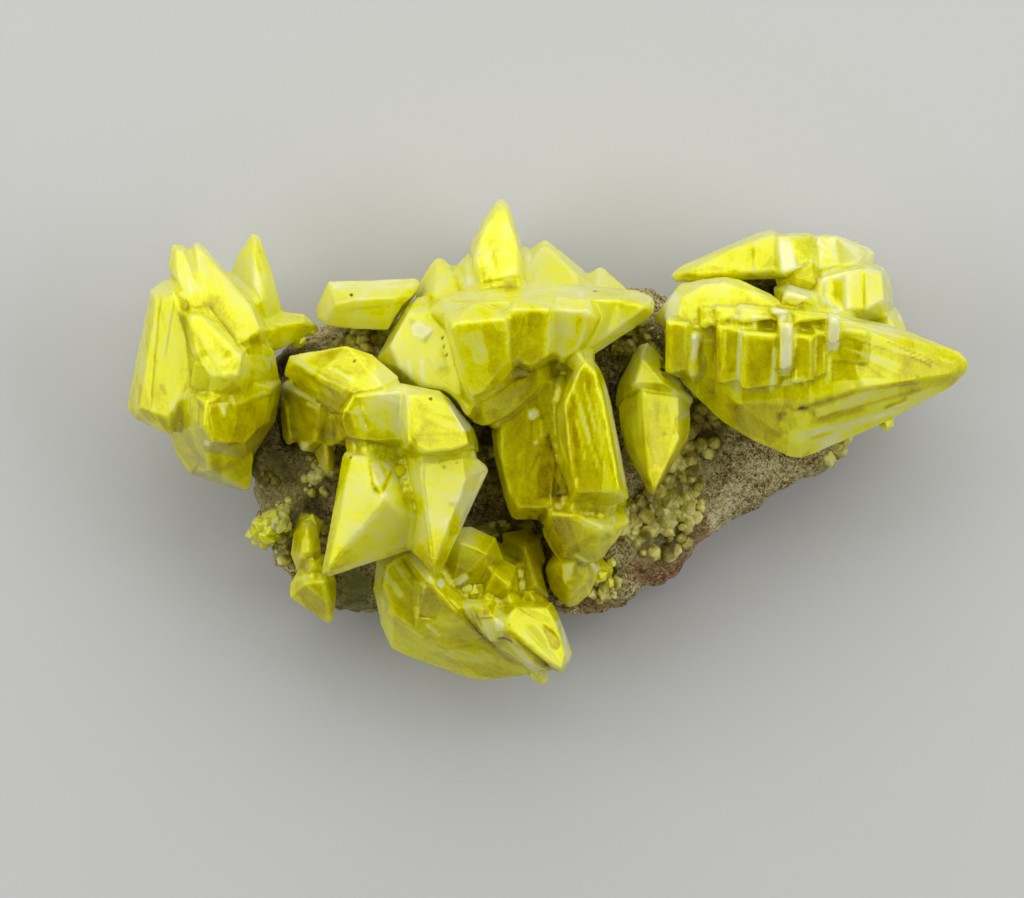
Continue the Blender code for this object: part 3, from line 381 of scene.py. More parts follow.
def sown(tree, chance, middle, half, turn, count, size):
    """Knobs' middles and radii over a patch: places spread evenly over its ellipse and dropped on
    the surface, each knob sunk by the bed share of its height. Its radius is the patch's size
    times the square of a random number."""
    radius = np.sqrt(chance.uniform(0, 1, count))
    angle = chance.uniform(0, 2 * np.pi, count)
    across = radius * np.cos(angle) * half[0]
    up = radius * np.sin(angle) * half[1]
    lean = np.radians(turn)
    x = middle[0] + across * np.cos(lean) - up * np.sin(lean)
    y = middle[1] - across * np.sin(lean) - up * np.cos(lean)
    spots = dropped_on(tree, np.stack(plan(x, y), axis=1))
    sizes = size * MM * chance.uniform(*KNOB_SPREAD, len(spots)) ** 2
    spots[:, 2] += sizes * (1 - 2 * DRUSE_BED)
    return spots, sizes


def store(piece, name, values):
    """Keeps one number for each point of a piece, for its material to read."""
    kept = piece.data.attributes.new(name, "FLOAT", "POINT")
    kept.data.foreach_set("value", values.astype(np.float32))


chance = np.random.default_rng(DRUSE_SEED)
rock_points, _ = points_of(rock)
crust = np.zeros(len(rock_points))
for middle, half, turn, *_ in DRUSE_ZONES:
    crust = np.maximum(crust, np.clip(1.8 - zone_radius(rock_points, middle, half, turn), 0, 1))
store(rock, "crust", crust)
for stain_or_painted_shade, zones in ROCK_STAINS_AND_SHADE.items():
    spread = np.zeros(len(rock_points))
    for middle, half, turn, most in zones:
        radius = zone_radius(rock_points, middle, half, turn)
        spread = np.maximum(spread, most * np.clip(1.5 - radius, 0, 1))
    spread *= 1 + STAIN_AND_SHADE_MOTTLE[1] * fractal_noise(rock_points, STAIN_AND_SHADE_MOTTLE[0], 3, 41)
    store(rock, stain_or_painted_shade, np.clip(spread, 0, 1))
rock_tree = surface_tree(rock)
sown_patches = [sown(rock_tree, chance, *zone) for zone in DRUSE_ZONES]
druse_places, druse_sizes = (np.concatenate(kind) for kind in zip(*sown_patches))
druse = knobs("druse", druse_places, druse_sizes, chance)
druse.data.materials.append(druse_finish())
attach(druse, "root")

# Sulfur crystals: blunt bipyramids of translucent, resinous yellow sulfur, clouded inside by
# veils and healed cracks. They grew by layers, which stand as fine ribs across the faces.
# The sulfur's colour ramp, darkest to palest: painted shade pulls it towards the shaded and deep
# yellows, painted highlights towards the pale and frost yellows.
SPECK_BROWN = (0.04, 0.02, 0.0)
SHADED_YELLOW = (0.44, 0.35, 0.0)
DEEP_YELLOW = (0.70, 0.65, 0.0)
CLEAR_YELLOW = (0.87, 0.865, 0.0)
PALE_AND_LIT_YELLOW = (0.86, 0.855, 0.30)
FROST_AND_HIGHLIGHT_YELLOW = (0.96, 0.955, 0.56)
GLOSS_TINT = (1.0, 1.0, 0.20)
SULFUR_IOR = 1.96
MOST_CELLS = 56000
CELL_SIDE = 0.165 * MM
SCATTER = 1.6 * MM  # how far light wanders inside a large crystal
SMALL_SCATTER = 0.3 * MM
LAYER_PITCHES = [(1.9 * MM, 1.0), (0.7 * MM, 0.4)]  # each with its share of the layers' depth
STRETCH = 7 * MM  # the layers wander, and come and go, over stretches of this size
WAVINESS = (2.4 * MM, 0.02 * MM)  # size and height
NICK_SIZE = 0.9 * MM
NICK_DEPTH = 0.30 * MM
NICK_REACH = 0.25 * MM  # a point that stands out this far is fully on an edge
LEDGE_SCALE = 0.6  # of the heights written for the ledges
STREAK_SCALE = 1.4  # of the changes of tone written for the streaks
EDGE_ROUNDS = 3
EDGE_SHADE_AND_HIGHLIGHT = (-0.06, 0.07)  # painted shade in a groove and painted highlight along an edge
EDGE_TONE_REACH = 0.8 * MM


def sulfur_finish(name, along, scatter):
    """Yellow clouded by veils that run along one direction, darkened by painted shade and
    lightened by painted highlights from the stored tone, with fine ribs in its relief.
    """
    made, shader, make = new_material(name)
    place = make("TexCoord").outputs["Object"]
    turn = Vector(along).to_track_quat("X", "Z").inverted().to_euler()
    drawn = make("Mapping", {"Rotation": turn}, {"Vector": place})
    drawn = make("Mapping", {"Scale": (0.2, 1, 1)}, {"Vector": drawn.outputs["Vector"]})
    drawn = drawn.outputs["Vector"]
    clouds = make("TexNoise", {"Scale": 260, "Detail": 5, "Roughness": 0.6, "Distortion": 0.8},
                  {"Vector": place})
    veils = make("TexNoise", {"Scale": 1500, "Detail": 4, "Roughness": 0.6, "Distortion": 0.3},
                 {"Vector": drawn})
    planes = make("TexVoronoi", {"Scale": 420, "Randomness": 0.9}, {"Vector": drawn},
                  feature="F1", distance="CHEBYCHEV")
    planes = make("SeparateColor", {}, {"Color": planes.outputs["Color"]})
    # the stored tone: painted light and shade, with veils, specks and random tone
    tone_and_painted_light = make("Attribute", attribute_name="tone_and_painted_light").outputs["Fac"]
    depth = make("Math", {1: 0.44, 2: -0.08}, {0: clouds.outputs["Fac"]},
                 operation="MULTIPLY_ADD")
    mottle = make("TexNoise", {"Scale": 3400, "Detail": 3, "Roughness": 0.65},
                  {"Vector": place})
    for share, socket in ((0.22, veils.outputs["Fac"]), (0.14, planes.outputs["Red"]),
                          (0.26, mottle.outputs["Fac"]), (1.0, tone_and_painted_light)):
        depth = make("Math", {1: share}, {0: socket, 2: depth.outputs["Value"]},
                     operation="MULTIPLY_ADD")
    color = ramp_stops(make("ValToRGB", {}, {"Fac": depth.outputs["Value"]}),
                       (0.00, SPECK_BROWN), (0.16, SHADED_YELLOW), (0.35, DEEP_YELLOW),
                       (0.46, CLEAR_YELLOW), (0.68, PALE_AND_LIT_YELLOW), (0.88, FROST_AND_HIGHLIGHT_YELLOW))
    ribs = make("TexNoise", {"Scale": 1900, "Detail": 3, "Roughness": 0.5}, {"Vector": drawn})
    pits = make("TexNoise", {"Scale": 620, "Detail": 6, "Roughness": 0.62}, {"Vector": place})
    relief = make("Bump", {"Strength": 0.45, "Distance": 0.05 * MM},
                  {"Height": ribs.outputs["Fac"]})
    relief = make("Bump", {"Strength": 0.50, "Distance": 0.08 * MM},
                  {"Height": pits.outputs["Fac"], "Normal": relief.outputs["Normal"]})
    gloss = make("MapRange", {"From Min": 0.38, "From Max": 0.66, "To Min": 0.08, "To Max": 0.24},
                 {"Value": pits.outputs["Fac"]})
    link = made.node_tree.links.new
    link(color, shader.inputs["Base Color"])
    link(relief.outputs["Normal"], shader.inputs["Normal"])
    link(gloss.outputs["Result"], shader.inputs["Roughness"])
    shader.inputs["IOR"].default_value = SULFUR_IOR
    shader.inputs["Subsurface Weight"].default_value = 1.0
    shader.inputs["Subsurface Radius"].default_value = (1.0, 0.9, 0.05)
    shader.inputs["Subsurface Scale"].default_value = scatter
    shader.inputs["Transmission Weight"].default_value = 0.18
    shader.inputs["Specular Tint"].default_value = (*GLOSS_TINT, 1)
    return made


def growth_layers(points, across, pitch, seed):
    """Heights from -1 to 1 that step from layer to layer: a random height for each layer of the
    pitch along the direction across, with a steep smooth rise between two of them. The layers
    wander by up to about a third of their pitch."""
    way = np.array(across, float)
    way /= np.linalg.norm(way)
    wander = fractal_noise(points, STRETCH, 2, seed + 5) * 0.35
    along = points @ way / pitch + wander
    layer = np.floor(along).astype(np.int64)
    part = np.clip((along - layer - 0.5) * 6 + 0.5, 0, 1)
    part = part * part * (3 - 2 * part)
    return hashed(layer, seed) * (1 - part) + hashed(layer + 1, seed) * part


def edge_share(piece, rounds, reach):
    """How far each point stands out of the surface averaged around it, over the reach: above 0
    along an edge, below 0 in a groove. The average moves every point to its neighbours' mean,
    round after round."""
    mesh = piece.data
    points, normals = points_of(piece)
    ends = np.empty(len(mesh.edges) * 2, np.int32)
    mesh.edges.foreach_get("vertices", ends)
    first, last = ends.reshape(-1, 2).T
    count = len(points)
    degree = np.bincount(first, minlength=count) + np.bincount(last, minlength=count)
    mean = points.copy()
    for _ in range(rounds):
        mean = np.stack([np.bincount(first, mean[last, axis], count)
                         + np.bincount(last, mean[first, axis], count)
                         for axis in range(3)], axis=1) / degree[:, None]
    return np.sum((points - mean) * normals, axis=1) / reach


# Painted shade makes thick, sheltered stretches deeper in colour, and painted light makes
# free-standing points lighter: a stretch's middle, its half sizes, its turn in degrees and its
# change of tone.
PAINTED_SHADE_AND_LIGHT = [
    ((53.0, 44.5), (3.6, 7.5), 0, -0.12), ((59.3, 43.0), (3.0, 8.0), 10, -0.05),
    ((58.2, 53.2), (4.4, 3.4), 0, -0.08), ((57.0, 58.0), (3.0, 3.0), 0, -0.05),
    ((31.0, 43.5), (3.4, 5.0), 0, -0.12), ((50.5, 56.5), (6.0, 4.2), 0, -0.14),
    ((42.0, 58.0), (4.0, 3.4), 30, -0.08), ((76.0, 35.5), (8.5, 4.6), 0, -0.05),
    ((70.6, 36.8), (1.2, 3.4), 0, -0.10), ((48.5, 36.5), (3.4, 3.6), 0, -0.04),
    ((22.5, 44.5), (4.5, 4.5), 0, -0.05), ((30.8, 57.5), (3.5, 6.0), 0, -0.06),
    ((49.6, 24.0), (3.2, 4.5), 0, 0.08), ((82.0, 25.0), (6.0, 3.0), 0, 0.07),
    ((20.0, 30.0), (4.5, 5.5), 0, 0.05), ((35.6, 50.0), (3.6, 6.4), 0, 0.05),
    ((45.0, 51.0), (3.0, 6.4), 0, 0.05), ((71.0, 29.0), (6.0, 2.6), 0, 0.05),
    ((25.4, 27.0), (2.4, 5.0), 0, 0.07), ((56.0, 27.0), (5.0, 3.0), 0, 0.06),
    ((44.0, 41.0), (4.0, 4.0), 0, 0.04), ((38.5, 42.0), (3.0, 2.0), 0, 0.05),
    ((46.6, 51.0), (1.6, 3.8), -22, 0.07), ((40.5, 36.5), (3.0, 3.0), 0, 0.05),
    ((87.0, 30.0), (4.0, 3.4), 0, 0.12), ((60.0, 33.5), (4.5, 2.5), 0, 0.06),
    ((23.5, 43.0), (4.0, 4.0), 0, -0.05), ((21.4, 34.4), (1.8, 4.2), 39, 0.03),
    ((67.6, 36.0), (2.6, 2.4), 0, -0.03), ((36.5, 43.3), (3.2, 1.6), 0, -0.05),
    ((47.4, 50.0), (1.4, 3.6), -22, 0.08), ((39.5, 41.0), (1.8, 2.0), 0, 0.04),
    ((59.5, 33.5), (4.5, 2.5), 0, 0.05), ((65.8, 43.5), (1.3, 5.0), 0, -0.10),
    ((21.4, 33.0), (2.6, 3.4), 39, -0.12), ((34.0, 36.4), (3.0, 1.6), 0, -0.10),
    ((48.5, 36.5), (3.2, 3.4), 0, 0.09), ((39.0, 42.0), (2.4, 2.4), 0, 0.06),
    ((39.0, 53.5), (3.6, 2.4), 20, 0.08), ((42.0, 60.0), (4.0, 3.4), 30, 0.06),
    ((69.6, 37.0), (1.4, 4.0), 0, 0.06), ((46.8, 51.5), (1.8, 3.8), -22, 0.10),
    ((75.6, 36.6), (2.0, 3.0), 0, 0.06), ((84.0, 41.0), (6.0, 3.0), 20, 0.05),
    ((44.5, 41.8), (3.0, 2.4), 0, -0.05), ((91.0, 35.6), (5.0, 2.4), -20, -0.06),
    ((34.6, 51.0), (2.4, 4.5), 0, -0.06), ((72.0, 30.0), (5.5, 1.8), 0, -0.05),
    ((50.0, 24.5), (2.4, 4.0), 0, -0.08), ((69.6, 36.4), (1.0, 3.0), 0, 0.14),
    ((21.0, 32.6), (1.8, 2.8), 39, -0.12), ((34.6, 36.2), (2.6, 1.2), 0, -0.08),
    ((39.0, 41.4), (2.2, 1.6), 0, 0.07), ((46.4, 51.2), (1.2, 2.0), -22, 0.10),
    ((36.6, 31.4), (4.0, 1.6), 0, 0.07), ((65.8, 44.0), (1.0, 3.4), 0, -0.10),
    ((86.8, 31.0), (2.6, 1.4), 0, 0.03), ((40.2, 36.6), (2.0, 1.8), 0, 0.06),
    ((60.0, 34.0), (4.2, 1.4), 0, 0.04), ((35.6, 51.0), (1.6, 3.6), -30, 0.08),
    ((44.2, 51.0), (1.2, 3.6), -22, 0.08), ((32.5, 35.6), (3.0, 1.4), 0, 0.06),
    ((62.0, 24.0), (4.0, 2.4), 0, 0.04),
]


def painted_light_and_shade_of(piece, normals):
    """Painted light and shade: a painted highlight along edges and painted shade in grooves; by
    facet, painted light where it faces up the sheet towards the top lamp, and lighter or darker
    as sin(9x + 5y) of its normal; plus each stretch's painted change, which fades out between its
    ellipse and one half as large again."""
    points, _ = points_of(piece)
    tone_and_painted_light = np.clip(edge_share(piece, EDGE_ROUNDS, EDGE_TONE_REACH), *EDGE_SHADE_AND_HIGHLIGHT)
    tone_and_painted_light += 0.09 * normals[:, 1] + 0.035 * np.sin(9 * normals[:, 0] + 5 * normals[:, 1])
    for middle, half, turn, change in PAINTED_SHADE_AND_LIGHT:
        tone_and_painted_light += change * np.clip(3 - 2 * zone_radius(points, middle, half, turn), 0, 1)
    return tone_and_painted_light


def beside_line(points, start, end):
    """In plan, how many millimetres each point lies to the left of the line from start to end,
    and a weight of 1 along the line that fades to 0 over a tenth of its length at each end."""
    (x, y), (far_x, far_y) = plan(*start), plan(*end)
    run_x, run_y = far_x - x, far_y - y
    length = np.hypot(run_x, run_y)
    across = (run_x * (points[:, 1] - y) - run_y * (points[:, 0] - x)) / length / MM
    share = (run_x * (points[:, 0] - x) + run_y * (points[:, 1] - y)) / length ** 2
    return across, np.clip(10 * np.minimum(share, 1 - share), 0, 1)


def ledge_heights(points, normals, ledges):
    """Growth steps: on the left of each line the upper surface stands its height higher, and
    falls back evenly over its reach."""
    heights = np.zeros(len(points))
    for start, end, height, reach in ledges:
        across, weight = beside_line(points, start, end)
        rise = np.clip(across / 0.2 + 0.5, 0, 1) * np.clip(1 - across / reach, 0, 1)
        heights += height * MM * rise * weight
    return heights * np.clip(3 * normals[:, 2], 0, 1)


def inside_shape(points, corners):
    """In plan, a weight of 1 inside a convex outline, falling to 0 over 0.15 mm at its edge."""
    middle = np.array([plan(*np.mean(corners, axis=0))])
    weight = np.ones(len(points))
    for start, end in zip(corners, corners[1:] + corners[:1]):
        inner = np.sign(beside_line(middle, start, end)[0])
        weight *= np.clip(beside_line(points, start, end)[0] * inner / 0.15 + 0.5, 0, 1)
    return weight


def patch_heights(points, normals, patches):
    """Small faces: inside each outline the upper surface stands its height higher and leans by
    its slopes, right and up the sheet, about the outline's middle."""
    heights = np.zeros(len(points))
    for corners, height, right, up, _ in patches:
        x, y = plan(*np.mean(corners, axis=0))
        lift = height * MM + right * (points[:, 0] - x) + up * (points[:, 1] - y)
        heights += lift * inside_shape(points, corners)
    return heights * np.clip(3 * normals[:, 2], 0, 1)


def crystal_cluster(node, name, across, along, seed, depth=0.03, closed=0.5,
                    patches=(), ledges=(), streaks=(), scatter=SCATTER):
    """A cluster's fine skin, its narrow clefts healed, with growth layers in stretches, a slight
    waviness, nicks where the noise is high along its edges, and its own growth steps and small
    faces. A patch ends with its change of tone, painted light and shade on that small face. A
    streak is a line, its half width in millimetres and its change of tone; the streaks are veils
    just under the skin, painted shade lines along steps, painted glints and a few dark specks."""
    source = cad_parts[node].data
    area = sum(face.area for face in source.polygons)
    cells = min(MOST_CELLS, area / CELL_SIDE ** 2)
    piece = skin_of(node, cells, name, 1, closed * MM)
    points, normals = points_of(piece)
    layered = np.clip(fractal_noise(points, STRETCH, 2, seed + 9) * 1.6 + 0.45, 0, 1)
    heights = fractal_noise(points, WAVINESS[0], 2, seed + 2) * WAVINESS[1]
    for turn, (pitch, share) in enumerate(LAYER_PITCHES):
        heights += growth_layers(points, across, pitch, seed + turn) * depth * MM * share * layered
    nicks = np.clip(1.6 * lattice_noise(points, NICK_SIZE, seed + 3) - 0.2, 0, 1)
    heights -= NICK_DEPTH * nicks * np.clip(edge_share(piece, EDGE_ROUNDS, NICK_REACH), 0, 1)
    heights += ledge_heights(points, normals, ledges) * LEDGE_SCALE
    heights += patch_heights(points, normals, patches)
    raise_surface(piece, heights)
    tone_and_painted_light = painted_light_and_shade_of(piece, normals)
    # painted light and shade on each small face
    for corners, *_, change in patches:
        tone_and_painted_light += change * inside_shape(points, corners)
    # streaks: veils under the skin, painted shade lines along steps, painted glints and a few dark
    # specks
    for start, end, width, change in streaks:
        beside, weight = beside_line(points, start, end)
        tone_and_painted_light += STREAK_SCALE * change * weight * np.clip(1.5 - np.abs(beside) / width, 0, 1)
    store(piece, "tone_and_painted_light", tone_and_painted_light)
    piece.data.materials.append(sulfur_finish(name + "_sulfur", along, scatter))
    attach(piece, "root")
    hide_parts(node)
    return piece


# In the clusters below, the last number of each patch and each streak is its change of tone, mostly
# painted highlights and painted shade.
# Left crystals: a thick slab with a banded face, two thin blades behind it and a blunt lower
# end, grown side by side; growth steps run down the slab.
crystal_cluster(
    "left_crystal_cluster", "left_crystals", (1, 0.25, 0.3), (0.3, -1, 0), 21, 0.03,
    patches=[([(18.6, 31.0), (20.6, 31.2), (24.4, 35.2), (24.2, 37.6), (22.6, 38.0)],
              0.05, 0.0, -0.05, 0.05),
             ([(17.3, 40.8), (17.6, 40.0), (20.0, 40.0), (20.3, 47.0), (18.4, 47.2)],
              0.0, 0.0, 0.0, 0.04),
             ([(20.8, 40.6), (27.4, 39.4), (26.6, 43.0), (24.8, 46.5), (21.4, 43.6)],
              0.0, -0.06, 0.0, -0.05),
             ([(23.6, 33.0), (25.0, 32.8), (25.0, 34.2), (23.9, 34.4)], 0.06, 0.0, -0.1, 0.09),
             ([(22.2, 40.4), (23.0, 40.2), (22.5, 41.8)], 0.06, 0.0, -0.1, 0.18),
             ([(20.9, 37.6), (22.0, 38.2), (21.6, 40.2), (20.6, 40.0)], 0.0, 0.1, 0.0, 0.04),
             ([(25.0, 33.0), (26.0, 33.2), (26.4, 35.4), (24.6, 35.6)], 0.0, 0.0, 0.1, -0.07),
             ([(26.2, 35.6), (27.2, 35.8), (27.0, 37.0)], 0.06, 0.0, -0.1, 0.16),
             ([(20.6, 44.0), (21.2, 44.2), (20.9, 44.5)], 0.05, 0.0, -0.3, 0.35)],
    ledges=[((18.0, 31.0), (19.7, 36.0), 0.40, 2.4), ((19.7, 36.0), (19.2, 38.8), 0.40, 1.8),
            ((24.2, 35.0), (20.6, 30.2), 0.40, 2.6), ((16.2, 29.5), (15.2, 41.0), 0.16, 1.2),
            ((17.6, 30.0), (16.6, 36.0), 0.18, 1.0), ((14.6, 30.5), (13.2, 41.0), 0.16, 1.0),
            ((20.2, 40.2), (20.0, 47.8), 0.20, 1.6), ((21.6, 37.2), (20.8, 40.4), 0.25, 1.2),
            ((20.8, 40.4), (23.4, 40.3), -0.25, 1.4), ((23.4, 40.7), (26.9, 39.2), 0.2, 1.2),
            ((19.4, 24.8), (20.4, 29.0), 0.15, 1.4), ((24.6, 24.6), (26.6, 30.2), 0.18, 1.0)],
    streaks=[((18.1, 31.2), (19.6, 36.0), 0.25, -0.07), ((19.6, 36.0), (19.2, 38.8), 0.25, -0.07),
             ((20.8, 30.4), (24.6, 35.2), 0.40, -0.06), ((18.9, 31.4), (22.6, 36.6), 0.5, 0.07),
             ((15.4, 30.4), (15.8, 36.0), 0.2, 0.09), ((14.7, 32.0), (14.0, 38.5), 0.2, 0.08),
             ((17.3, 31.0), (16.5, 36.0), 0.2, 0.08), ((15.8, 33.0), (15.7, 36.5), 0.25, -0.07),
             ((16.2, 38.4), (16.7, 39.6), 0.2, -0.12), ((18.9, 27.8), (19.3, 29.8), 0.15, 0.12),
             ((19.3, 24.8), (20.2, 28.6), 0.2, -0.07), ((24.7, 25.0), (26.0, 29.6), 0.25, 0.10),
             ((25.4, 25.4), (26.6, 29.8), 0.2, -0.07), ((17.3, 41.2), (17.5, 40.0), 0.25, 0.16),
             ((17.5, 39.9), (19.2, 39.4), 0.3, 0.14), ((19.4, 39.4), (20.8, 41.2), 0.2, -0.10),
             ((23.2, 40.7), (26.8, 39.2), 0.25, 0.10), ((22.2, 40.2), (22.4, 41.8), 0.3, 0.16),
             ((20.6, 44.2), (21.1, 44.4), 0.2, 0.35), ((22.3, 45.2), (22.5, 48.6), 0.3, 0.08),
             ((20.8, 45.0), (20.9, 48.0), 0.3, 0.06), ((27.0, 35.6), (27.8, 36.6), 0.25, 0.14)])

# Back left crystal: a short blunt crystal on the rock's far edge, its top edge lightened
# by a painted highlight.
crystal_cluster(
    "back_left_crystal", "back_left_skin", (0.2, 0.1, 1), (1, 0, 0), 31,
    ledges=[((42.0, 30.0), (34.0, 31.2), -0.2, 1.0)],
    streaks=[((32.4, 28.6), (42.4, 28.2), 0.55, 0.14), ((33.0, 29.0), (32.0, 32.4), 0.8, 0.12),
             ((35.0, 29.4), (35.3, 29.6), 0.12, -0.6), ((36.5, 28.8), (35.6, 31.6), 0.4, 0.06)])

# Arm: a bent row of blunt crystals grown into one another, with two free points below and thin
# blades at its upper end.
crystal_cluster(
    "arm_crystal_cluster", "arm_crystals", (0.5, 1, 0.2), (1, -0.4, 0), 41, 0.015, 0.75,
    patches=[([(44.9, 40.3), (45.4, 40.4), (47.2, 42.9), (46.3, 43.1), (45.6, 42.0)],
              0.0, -0.20, -0.10, 0.34),
             ([(36.9, 46.0), (38.2, 45.6), (39.5, 46.6), (38.4, 49.6), (37.5, 49.2)],
              -0.12, 0.0, 0.0, -0.14),
             ([(37.2, 46.2), (38.0, 46.0), (38.7, 47.8), (38.2, 48.6), (37.6, 48.6)],
              0.10, 0.05, -0.05, 0.20),
             ([(38.3, 45.9), (39.4, 46.6), (38.9, 47.4)], 0.10, 0.0, -0.1, 0.18),
             ([(34.9, 39.2), (36.0, 39.0), (36.2, 39.9), (35.2, 40.1)], 0.05, 0.0, 0.1, -0.06),
             ([(33.2, 41.2), (35.2, 41.4), (36.2, 44.4), (34.4, 44.6)], -0.05, 0.1, 0.0, -0.08),
             ([(36.6, 42.6), (39.8, 43.2), (40.0, 44.8), (36.8, 44.6)], -0.05, 0.0, 0.1, -0.06),
             ([(40.6, 45.4), (47.4, 44.6), (46.8, 43.4), (41.4, 43.6)], 0.0, 0.0, 0.1, -0.05),
             ([(30.1, 44.0), (30.8, 44.4), (30.6, 45.1), (30.1, 45.1)], 0.05, 0.0, -0.1, 0.26),
             ([(44.8, 50.4), (46.2, 50.2), (46.0, 53.2), (45.0, 53.8)], -0.05, 0.0, 0.0, -0.12),
             ([(46.9, 47.6), (48.5, 47.2), (46.6, 51.6), (45.4, 50.4)], -0.05, -0.1, 0.0, -0.05),
             ([(43.0, 39.8), (43.3, 40.0), (43.1, 40.1)], -0.05, 0.0, 0.0, -0.6)],
    ledges=[((29.4, 35.8), (35.6, 38.8), 0.35, 1.6), ((30.5, 37.2), (33.0, 38.6), 0.2, 0.7),
            ((33.2, 37.0), (36.0, 38.8), 0.2, 0.8), ((41.2, 40.6), (41.5, 45.2), 0.15, 1.0),
            ((40.5, 45.6), (47.4, 44.6), 0.25, 1.4), ((28.0, 38.4), (31.8, 40.4), 0.35, 0.9),
            ((33.0, 41.2), (38.0, 41.4), 0.25, 1.2), ((36.2, 39.8), (37.0, 43.2), 0.15, 0.8),
            ((41.8, 46.6), (43.2, 56.0), 0.15, 0.6)],
    streaks=[((31.6, 37.8), (34.6, 39.2), 0.25, 0.15), ((33.0, 36.8), (35.6, 38.3), 0.22, 0.15),
             ((29.6, 36.1), (31.8, 37.2), 0.2, 0.14), ((29.2, 36.6), (33.4, 38.9), 0.3, -0.07),
             ((36.2, 39.8), (37.0, 43.0), 0.18, -0.09), ((35.6, 40.6), (36.8, 43.4), 0.22, 0.11),
             ((35.2, 41.0), (35.8, 43.0), 0.2, 0.09), ((38.6, 40.0), (39.0, 44.2), 0.2, -0.05),
             ((39.8, 42.0), (40.0, 45.5), 0.3, 0.07), ((41.2, 40.5), (41.5, 45.2), 0.4, -0.08),
             ((42.6, 41.6), (46.6, 43.0), 0.3, 0.10), ((36.0, 39.6), (35.4, 39.0), 0.5, -0.06),
             ((45.0, 40.4), (47.0, 42.8), 0.35, 0.30), ((46.2, 42.9), (47.0, 42.8), 0.3, 0.2),
             ((37.0, 46.4), (37.4, 48.6), 0.2, -0.15), ((37.4, 48.7), (38.4, 49.5), 0.2, -0.15),
             ((39.4, 47.0), (38.4, 49.2), 0.2, -0.12), ((38.2, 49.7), (38.7, 49.2), 0.25, 0.25),
             ((36.0, 52.9), (38.4, 51.0), 0.2, 0.09), ((41.3, 46.8), (42.0, 50.2), 0.5, 0.08),
             ((46.6, 48.4), (45.2, 49.9), 0.2, -0.10), ((45.2, 49.9), (44.7, 51.8), 0.2, -0.10),
             ((45.5, 50.4), (45.4, 53.6), 0.6, -0.10), ((44.3, 46.6), (44.6, 46.8), 0.15, -0.2),
             ((45.6, 46.2), (45.8, 46.4), 0.12, -0.2), ((44.0, 48.6), (44.4, 48.9), 0.2, -0.1),
             ((28.0, 38.3), (31.8, 40.2), 0.25, 0.32), ((30.6, 40.3), (32.0, 40.9), 0.18, 0.3),
             ((30.2, 44.2), (30.6, 45.2), 0.4, 0.22), ((43.0, 39.8), (43.3, 40.0), 0.12, -0.7),
             ((35.4, 36.1), (35.6, 36.2), 0.1, -0.6), ((35.1, 45.6), (35.3, 45.8), 0.15, -0.4),
             ((33.2, 57.2), (37.6, 55.8), 0.2, 0.12), ((34.6, 45.4), (36.6, 45.9), 0.25, 0.12)])

# Lower left tablet: a small flat crystal at the foot of the rock.
tablet = crystal_cluster("lower_left_tablet", "tablet_skin", (0.3, 1, 0.2), (1, 0.4, 0), 51,
                         scatter=SMALL_SCATTER)

# Lower left points: two small points that grew out sideways.
crystal_cluster(
    "lower_left_points", "points_skin", (1, 0.2, 0.2), (0.2, -1, 0), 61,
    ledges=[((30.2, 57.6), (32.6, 57.6), 0.25, 1.2), ((29.8, 53.6), (30.6, 57.0), 0.2, 0.8)],
    streaks=[((29.0, 54.0), (28.7, 55.6), 0.25, 0.3), ((29.8, 55.8), (30.4, 55.6), 0.2, 0.2),
             ((31.8, 57.4), (32.8, 60.4), 0.2, 0.1), ((29.4, 58.0), (31.6, 57.6), 0.2, 0.12)])
